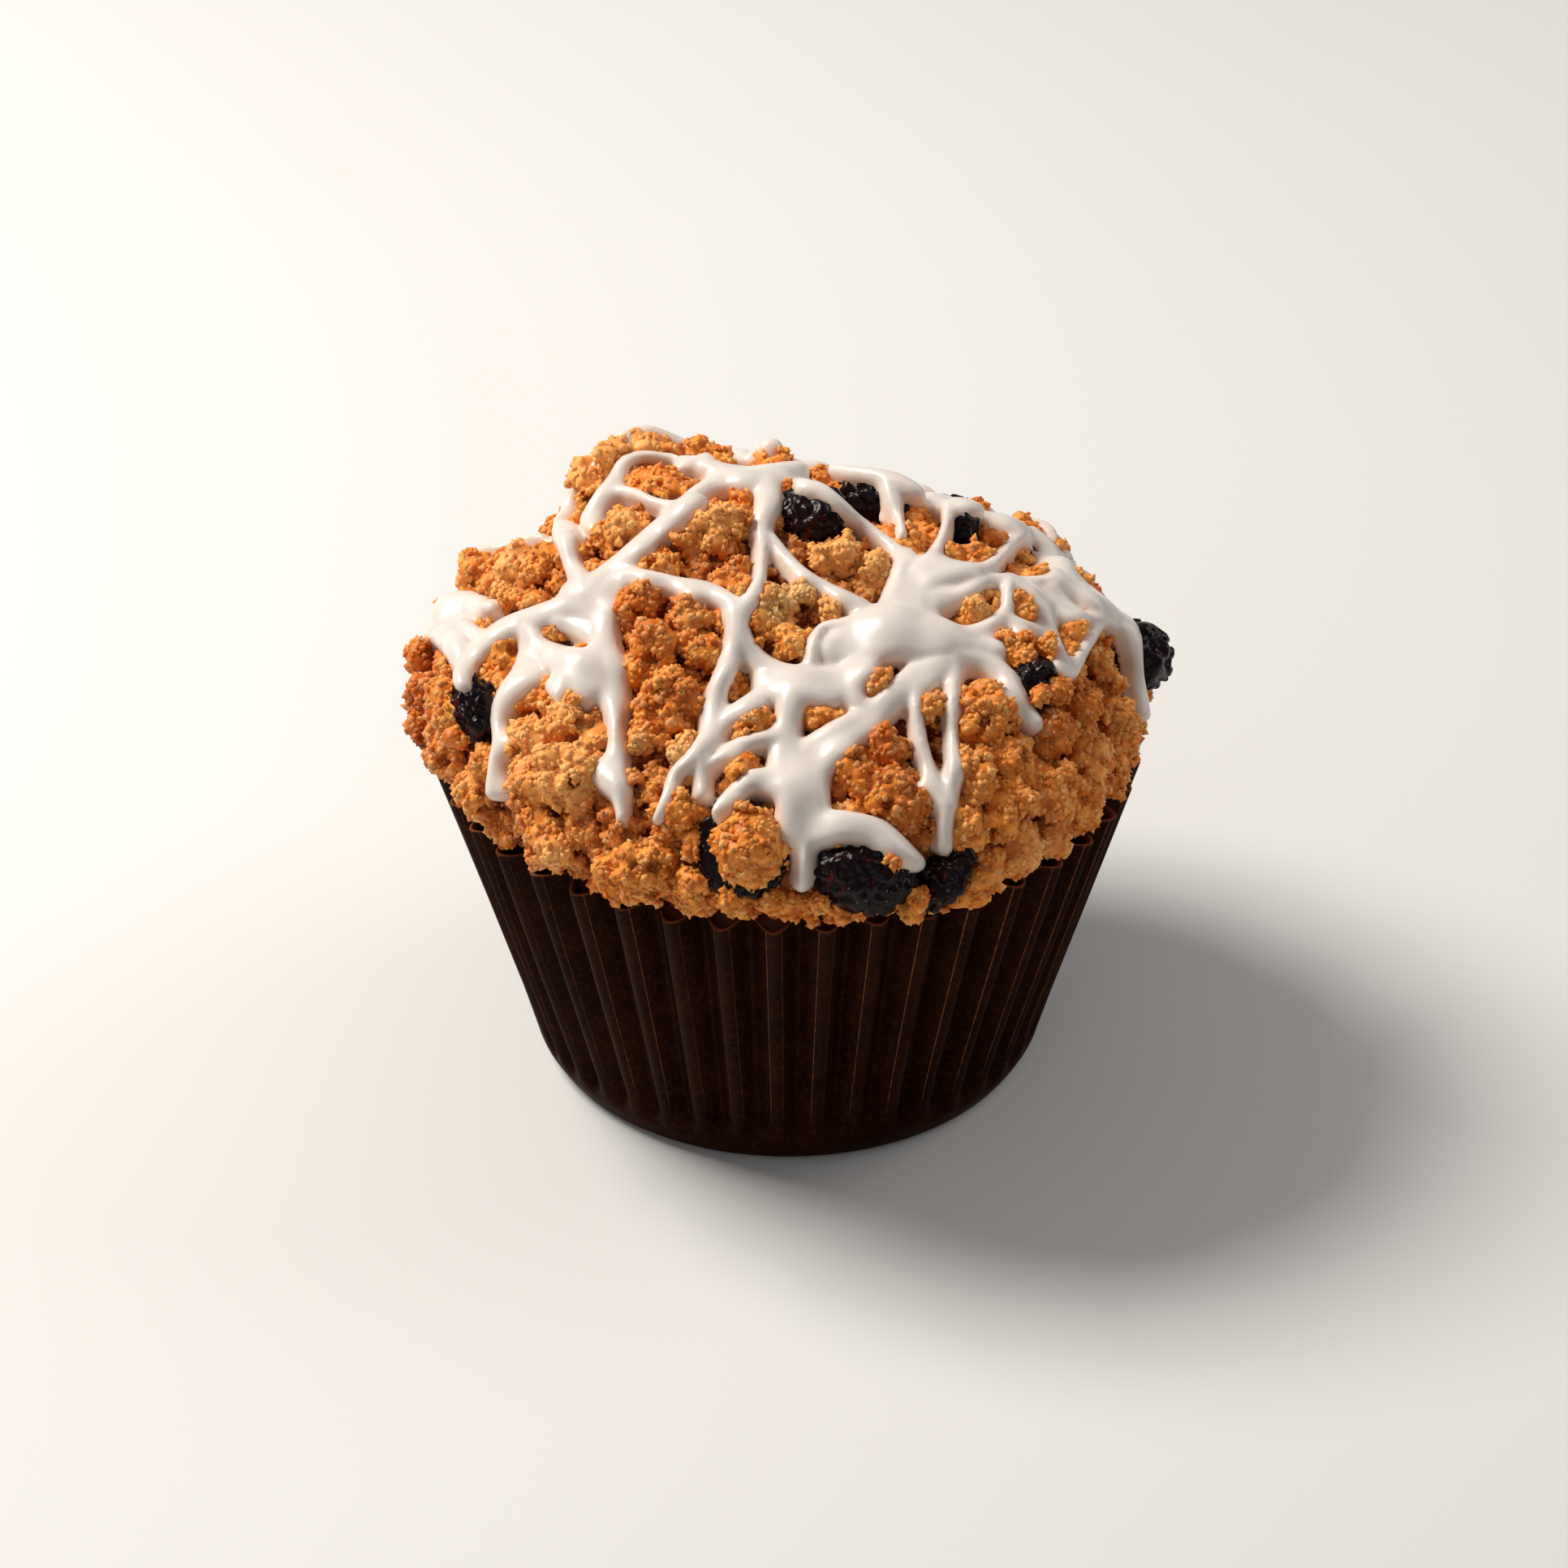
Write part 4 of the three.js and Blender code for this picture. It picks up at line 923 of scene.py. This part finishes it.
def crumb_material():
    m = Nodes("streusel")
    blotch = m.ramp(m.noise(0.12, 2.0), 0.38, 0.62)
    dark = m.mix(blotch, rgb(196, 89, 10), rgb(204, 102, 17))
    light = m.mix(blotch, rgb(243, 153, 60), rgb(250, 169, 82))
    m.colour = m.mix(m.ramp(m.noise(0.6, 3.0), 0.33, 0.62), dark, light)
    m.tint(m.ramp(m.value("brown"), 0.0, 1.0, 0.0, 0.6), 188, 86, 20)
    # Paler streusel at given spots; the larger spots high on the crest and shoulder also stand in for light
    # falling there, as painted light
    m.tint(m.ramp(m.value("pale_and_painted_light"), 0.0, 1.0, 0.0, 0.7), 252, 182, 106)
    m.tint(m.value("inner"), 226, 180, 114)
    m.tint(m.ramp(m.value("tone"), 0.4, 1.0, 0.0, 0.36), 255, 206, 144)
    m.tint(m.ramp(m.value("tone"), 0.0, 0.3, 0.18, 0.0), 184, 80, 8)
    # Painted shade: crumb lying deeper than the lumps' surface, in the crevices between them, is darkened
    m.tint(m.ramp(m.value("height"), -2.1, -0.6, 0.92, 0.0), 124, 32, 0)
    m.bump(m.noise(1.8, 3.0, 0.6), 0.35, 0.2)
    return m.finish(
        m.ramp(m.noise(1.5), 0.3, 0.7, 0.3, 0.55),
        Subsurface_Weight=0.22, Subsurface_Radius=(1.0, 0.4, 0.15), Subsurface_Scale=0.8 * MM,
        Specular_IOR_Level=0.22,
    )


def icing_material():
    m = Nodes("icing")
    thin = m.ramp(m.value("thickness"), 0.15, 0.9, 1.0, 0.0)
    cloud = m.ramp(m.noise(0.22, 2.0), 0.35, 0.65)
    m.colour = m.mix(cloud, rgb(217, 207, 198), rgb(225, 216, 208))
    m.tint(m.times(thin, 0.75), 228, 200, 178)
    m.bump(m.noise(0.5, 2.0, 0.4), 0.12, 0.3)
    return m.finish(
        m.ramp(m.noise(0.4, 2.0), 0.3, 0.7, 0.28, 0.42),
        Subsurface_Weight=0.55, Subsurface_Radius=(1.0, 0.8, 0.65), Subsurface_Scale=0.9 * MM,
        IOR=1.44, Coat_Weight=0.1, Coat_Roughness=0.15,
    )


def berry_material():
    m = Nodes("berry skin")
    blotch = m.ramp(m.noise(0.35, 3.0, 0.6), 0.35, 0.7)
    m.colour = m.mix(blotch, rgb(8, 2, 4), rgb(28, 8, 13))
    # Painted glints: red patches laid over the skin at random, where red glints would show
    red_glints = m.ramp(m.noise(0.8, 3.0, 0.6, 0.6), 0.62, 0.72, 0.0, 0.8)
    m.tint(red_glints, 104, 20, 18)
    bloom = m.ramp(m.noise(0.5, 4.0, 0.7), 0.58, 0.85, 0.0, 0.15)
    m.tint(bloom, 90, 72, 82)
    fleck = m.ramp(m.cells(1.0), 0.08, 0.14, 0.3, 0.0)
    m.tint(fleck, 196, 170, 150)
    m.bump(m.noise(0.9, 2.0, 0.5, 0.4), 0.5, 0.25)
    return m.finish(
        m.ramp(m.noise(0.9), 0.35, 0.65, 0.14, 0.3),
        Subsurface_Weight=0.04, Subsurface_Radius=(1.0, 0.3, 0.4), Subsurface_Scale=0.6 * MM,
        Specular_IOR_Level=0.16,
    )


def paper_material():
    m = Nodes("brown paper")
    grain = m.noise(1.6, 4.0, 0.7)
    cloud = m.ramp(m.noise(0.14, 3.0), 0.35, 0.65)
    m.colour = m.mix(cloud, rgb(25, 7, 2), rgb(38, 13, 4))
    m.tint(m.ramp(grain, 0.45, 0.75, 0.0, 0.45), 80, 37, 15)
    # Paler dotted lines along the creases: partly worn paper, partly a painted highlight on the ridges
    wear_and_highlight = m.times(m.value("crease"), m.ramp(m.noise(1.3, 2.0), 0.35, 0.6, 0.25, 0.75))
    m.tint(wear_and_highlight, 172, 106, 70)
    # Painted highlight: the top edge of the paper is lighter and redder, as where light shines through its
    # thin rim
    m.tint(m.times(m.value("rim"), 0.55), 150, 86, 58)
    m.bump(grain, 0.35, 0.12)
    return m.finish(m.ramp(grain, 0.3, 0.7, 0.42, 0.6), Specular_IOR_Level=0.025)


def floor_material():
    m = Nodes("floor")
    m.colour = m.mix(m.noise(0.004, 2.0), rgb(222, 220, 216), rgb(228, 226, 223))
    return m.finish(m.ramp(m.noise(0.01, 2.0), 0.3, 0.7, 0.7, 0.8))


streusel, sugar = crumb_material(), icing_material()
skin_of_berry, brown_paper = berry_material(), paper_material()


def own(piece, slot, *nodes):
    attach(piece, "root")
    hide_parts(*nodes)
    return piece


def spot_values(points):
    return {key: near_spots(points, rows) for key, rows in SPOTS.items()}


# The crown's crumb, in a front and a back piece, open below, where it lies on the cake in the case
corners, faces = skin(crumb)
middles = corners[faces].mean(1)
above = middles[:, 2] > CROWN_FLOOR + 0.1
behind = middles[:, 1] > SPLIT
for name, choice in (("crumb_front", above & ~behind), ("crumb_back", above & behind)):
    points, quads = kept(corners, faces, choice)
    # The height, how deep each corner lies under the lumps' surface, sets the painted shade of the crevices
    piece = add_mesh(
        name, points, quads, streusel, dome_map(points, quads),
        height=at(lumpy, points), tone=np.full(len(points), CRUMB_TONE), **spot_values(points),
    )
    own(piece, "cake", "cake")

# Grains of sugar and flour that cover the crumb, each a small turned and stretched pebble of eight faces
pebble_corners = np.array([(1, 0, 0), (-1, 0, 0), (0, 1, 0), (0, -1, 0), (0, 0, 1), (0, 0, -1)], float)
pebble_faces = np.array([
    (0, 2, 4), (2, 1, 4), (1, 3, 4), (3, 0, 4), (2, 0, 5), (1, 2, 5), (3, 1, 5), (0, 3, 5),
])


def grain_piece(places):
    count, size = len(places), len(pebble_corners)
    radii = GRAIN_RADII[0] + (GRAIN_RADII[1] - GRAIN_RADII[0]) * rng.beta(1.5, 2.5, count)
    turns, _ = np.linalg.qr(rng.normal(size=(count, 3, 3)))
    turns *= np.linalg.det(turns)[:, None, None]
    stretch = rng.uniform(0.8, 1.5, (count, 1, 3)) * rng.uniform(0.8, 1.2, (count, size, 1))
    bodies = (pebble_corners * stretch) @ turns * radii[:, None, None]
    centres = places - outward(crumb, places) * (radii * rng.uniform(-0.15, 0.6, count))[:, None]
    points = (centres[:, None] + bodies).reshape(-1, 3)
    faces = (pebble_faces[None] + size * np.arange(count)[:, None, None]).reshape(-1, 3)
    spots = {key: np.repeat(value, size) for key, value in spot_values(places).items()}
    tone = np.repeat(rng.uniform(0, 1, count), size)
    # How deep each grain lies under the lumps' surface, which sets its painted shade in the crevices
    height = np.repeat(at(lumpy, places), size)
    uv = dome_map(points, faces)
    return add_mesh("grains", points, faces, streusel, uv, height=height, tone=tone, **spots)


seats = corners[(corners[:, 2] > CROWN_FLOOR + 0.1) & (at(icing, corners) > 0.1)]
weights = np.where(seats[:, 1] < SPLIT, FRONT_SHARE, 1.0)
chosen = rng.choice(len(seats), GRAINS, replace=False, p=weights / weights.sum())
own(grain_piece(seats[chosen]), "cake", "cake")

corners, faces = skin(icing)
uv = dome_map(corners, faces)
own(add_mesh("icing", corners, faces, sugar, uv, thickness=at(smooth_bed, corners)), "cake", "cake")


def ridge_radius(z):
    z = np.clip(z, 0, None)
    foot = FOOT_ROUND * (1 - np.sqrt(np.minimum(z / FOOT_HEIGHT, 1)))
    return BASE_RADIUS + (RIM_RADIUS - BASE_RADIUS) * z / CASE_HEIGHT - foot


def pleat_depth(z):
    share = np.clip((z - FOOT_HEIGHT) / (PLEAT_START - FOOT_HEIGHT), 0, 1)
    depth = FOOT_PLEAT_DEPTH + (RIM_PLEAT_DEPTH - FOOT_PLEAT_DEPTH) * z / CASE_HEIGHT
    return depth * share * share * (3 - 2 * share)


def lathe(profile, turn):
    """Radii, heights, turns, faces and map of a profile of radius and height at each of a row of turns."""
    rows, steps = len(profile), len(turn)
    r, z = np.meshgrid(profile[:, 0], turn, indexing="ij")[0], np.repeat(profile[:, 1][:, None], steps, 1)
    turns = np.repeat(turn[None], rows, 0)
    i, j = np.meshgrid(np.arange(rows - 1), np.arange(steps), indexing="ij")
    k = (j + 1) % steps
    low, high = i * steps, (i + 1) * steps
    faces = np.stack([low + j, low + k, high + k, high + j], -1).reshape(-1, 4)
    u = np.stack([j, j + 1, j + 1, j], -1) / steps
    v = np.stack([i, i, i + 1, i + 1], -1) / (rows - 1)
    return r, z, turns, faces, np.stack([u, v], -1).reshape(-1, 4, 2)


# The paper case
def paper_case():
    pleated = np.linspace(PLEAT_START, CASE_HEIGHT - RIM_EDGE, 24)[1:]
    levels = np.concatenate([np.linspace(0, PLEAT_START, 14), pleated, [CASE_HEIGHT]])
    outside = np.stack([np.ones_like(levels), levels, np.zeros_like(levels)], 1)
    inside = np.stack([np.ones(20), np.linspace(CASE_HEIGHT, 0.5, 20), np.ones(20)], 1)
    profile = np.concatenate([[[0, 0, 0]], outside, inside, [[0, 0.5, 1]]])
    creases = [c + CREASE_WIDTH * o for c, _, _ in CREASES for o in (-1, 0, 1)]
    places = np.sort(np.concatenate([np.linspace(-0.5, 0.5, 15)[:-1], creases]))
    turn = PLEAT_TURN + 2 * np.pi * (np.arange(PLEATS)[:, None] + places).ravel() / PLEATS
    r, z, turns, faces, uv = lathe(profile[:, :2], turn)
    inner = np.repeat(profile[:, 2][:, None], len(turn), 1)
    centre_rows = r == 0
    phase = (turns - PLEAT_TURN) * PLEATS / (2 * np.pi)
    number = np.floor(phase + 0.5).astype(int) % PLEATS
    within = phase + 0.5 - np.floor(phase + 0.5) - 0.5
    deeper = rng.uniform(*PLEAT_VARIETY, PLEATS)[number]
    fold = 1 - np.abs(np.cos(np.pi * within)) ** PLEAT_ROUNDNESS
    waver = 0.14 * np.sin(3 * turns + 0.06 * z) + 0.1 * np.sin(7 * turns - 0.05 * z)
    # Crease lines, which raise the paper a little and set its paler colour there, partly wear and partly
    # painted highlight
    crease = 0
    for middle_line, least, most in CREASES:
        line = np.clip(1 - np.abs(within - middle_line) / CREASE_WIDTH, 0, 1)
        crease = crease + line * rng.uniform(least, most, PLEATS)[number]
    started = np.clip((z - PLEAT_START) / 3, 0, 1)
    lower = rng.normal(0, RIM_SLACK, PLEATS)
    wall = ridge_radius(z) - pleat_depth(z) * fold * deeper - np.clip(z / 10, 0, 1) * (0.2 + waver)
    wall = wall + crease * CREASE_RISE * started - inner * PAPER
    wall = np.where(centre_rows, 0, wall)
    tilt = np.clip(z / CASE_HEIGHT, 0, 1) ** 6
    height = z + tilt * (lower[number] * np.cos(np.pi * within) ** 2 - RIM_SLACK)
    corners = around(wall, turns, height).reshape(-1, 3)
    # How near each corner lies to the top edge, for the painted rim highlight
    rim = np.clip((z - CASE_HEIGHT + RIM_EDGE) / RIM_EDGE, 0, 1).ravel()
    crease = (crease * started).ravel()
    return add_mesh("paper_case_fine", corners, faces, brown_paper, uv, crease=crease, rim=rim)


own(paper_case(), "paper", "paper_case")


# The cake's body inside the case
def cake_body():
    heights = np.array([BODY_FLOOR, PLEAT_START, 20.0, BODY_TOP])
    radii = ridge_radius(heights) - pleat_depth(heights) - BODY_GAP
    profile = np.concatenate([[[0, BODY_FLOOR]], np.stack([radii, heights], 1), [[0, BODY_TOP]]])
    r, z, turns, faces, uv = lathe(profile, 2 * np.pi * np.arange(BODY_STEPS) / BODY_STEPS)
    corners = around(r, turns, z).reshape(-1, 3)
    flat = np.zeros(len(corners))
    # The body takes the deepest painted shade all over
    shades = {"height": flat + BODY_SHADE_DEPTH, "tone": flat, **{key: flat for key in SPOTS}}
    return add_mesh("cake_body", corners, faces, streusel, uv, **shades)


own(cake_body(), "cake", "cake")


# Berries
def berry_piece(number, berry):
    centre, facing, across, along, half = berry
    bpy.ops.mesh.primitive_ico_sphere_add(subdivisions=BERRY_DETAIL, radius=1)
    ball = bpy.context.object
    points = np.array([v.co for v in ball.data.vertices])
    faces = np.array([p.vertices[:] for p in ball.data.polygons])
    bpy.data.objects.remove(ball)
    wrinkles = np.empty(len(points))
    for i, (x, y, z) in enumerate(points):
        p = Vector((x * half[0], y * half[1], z * half[2])) * WRINKLE_SCALE + Vector((7.3 * number, 0, 0))
        bent = p + 0.6 * noise.noise_vector(p * 0.8)
        wrinkles[i] = 1 - abs(noise.noise(bent * 1.6)) * 2.6 + 0.25 * noise.noise(p * 4.0)
    lobes = LOBE_DEPTH * np.sin(5 * np.arctan2(points[:, 1], points[:, 0]) + 4 * points[:, 2])
    grown = half[None] + lobes[:, None] - WRINKLE_DEPTH * np.clip(wrinkles, 0, 1.4)[:, None] + BERRY_SWELL
    local = points * grown
    curled = number - 1 == CRADLE_BERRY
    if curled:
        local[:, 2] *= np.where(local[:, 2] > 0, CRADLE_FLATNESS, 1)
    corners = centre + local[:, :1] * across + local[:, 1:2] * along + local[:, 2:] * facing
    if curled:
        reach = corners - ball_centre[0]
        gap = length(reach)[:, None]
        corners = np.where(gap < CRADLE_HOLLOW, ball_centre[0] + reach / gap * CRADLE_HOLLOW, corners)
    return add_mesh(f"berry_{number}_fine", corners, faces, skin_of_berry)


for number, berry in enumerate(berries, 1):
    own(berry_piece(number, berry), "berry", f"berry_{number}")


# Floor, light and camera
floor_corners = [(x * FLOOR_REACH, y * FLOOR_REACH, 0) for x, y in ((-1, -1), (1, -1), (1, 1), (-1, 1))]
add_mesh("floor", floor_corners, [(0, 1, 2, 3)], floor_material())


def area_light(name, place, target, size, power, colour):
    light = bpy.data.lights.new(name, "AREA")
    light.shape = "DISK"
    light.size = size
    light.energy = power
    light.color = colour
    lamp = add_object(name, light)
    lamp.location = place
    lamp.rotation_euler = (Vector(target) - Vector(place)).to_track_quat("-Z", "Y").to_euler()


area_light("key", (-0.36, 0.14, 0.5), (0, 0, 0.05), 0.3, 4.7, (1.0, 0.96, 0.9))
area_light("right", (0.46, 0.16, 0.34), (0, 0, 0.04), 0.4, 0.8, (1.0, 0.97, 0.94))
area_light("front", (-0.1, -0.7, 0.45), (0, 0, 0.04), 0.6, 0.5, (1.0, 0.98, 0.96))

world = bpy.data.worlds.new("studio")
world.use_nodes = True
sky = world.node_tree.nodes["Background"].inputs
sky["Color"].default_value = (0.9, 0.92, 0.95, 1)
sky["Strength"].default_value = 0.2
scene.world = world
scene.view_settings.view_transform = "Standard"

lens = bpy.data.cameras.new("camera")
lens.sensor_width = SENSOR
lens.lens = SENSOR * PIXELS_PER_MM * SIGHT_DISTANCE / PICTURE
camera = add_object("camera", lens)
camera.location = Vector(eye) * MM
camera.rotation_euler = Vector(forward).to_track_quat("-Z", "Y").to_euler()
scene.camera = camera
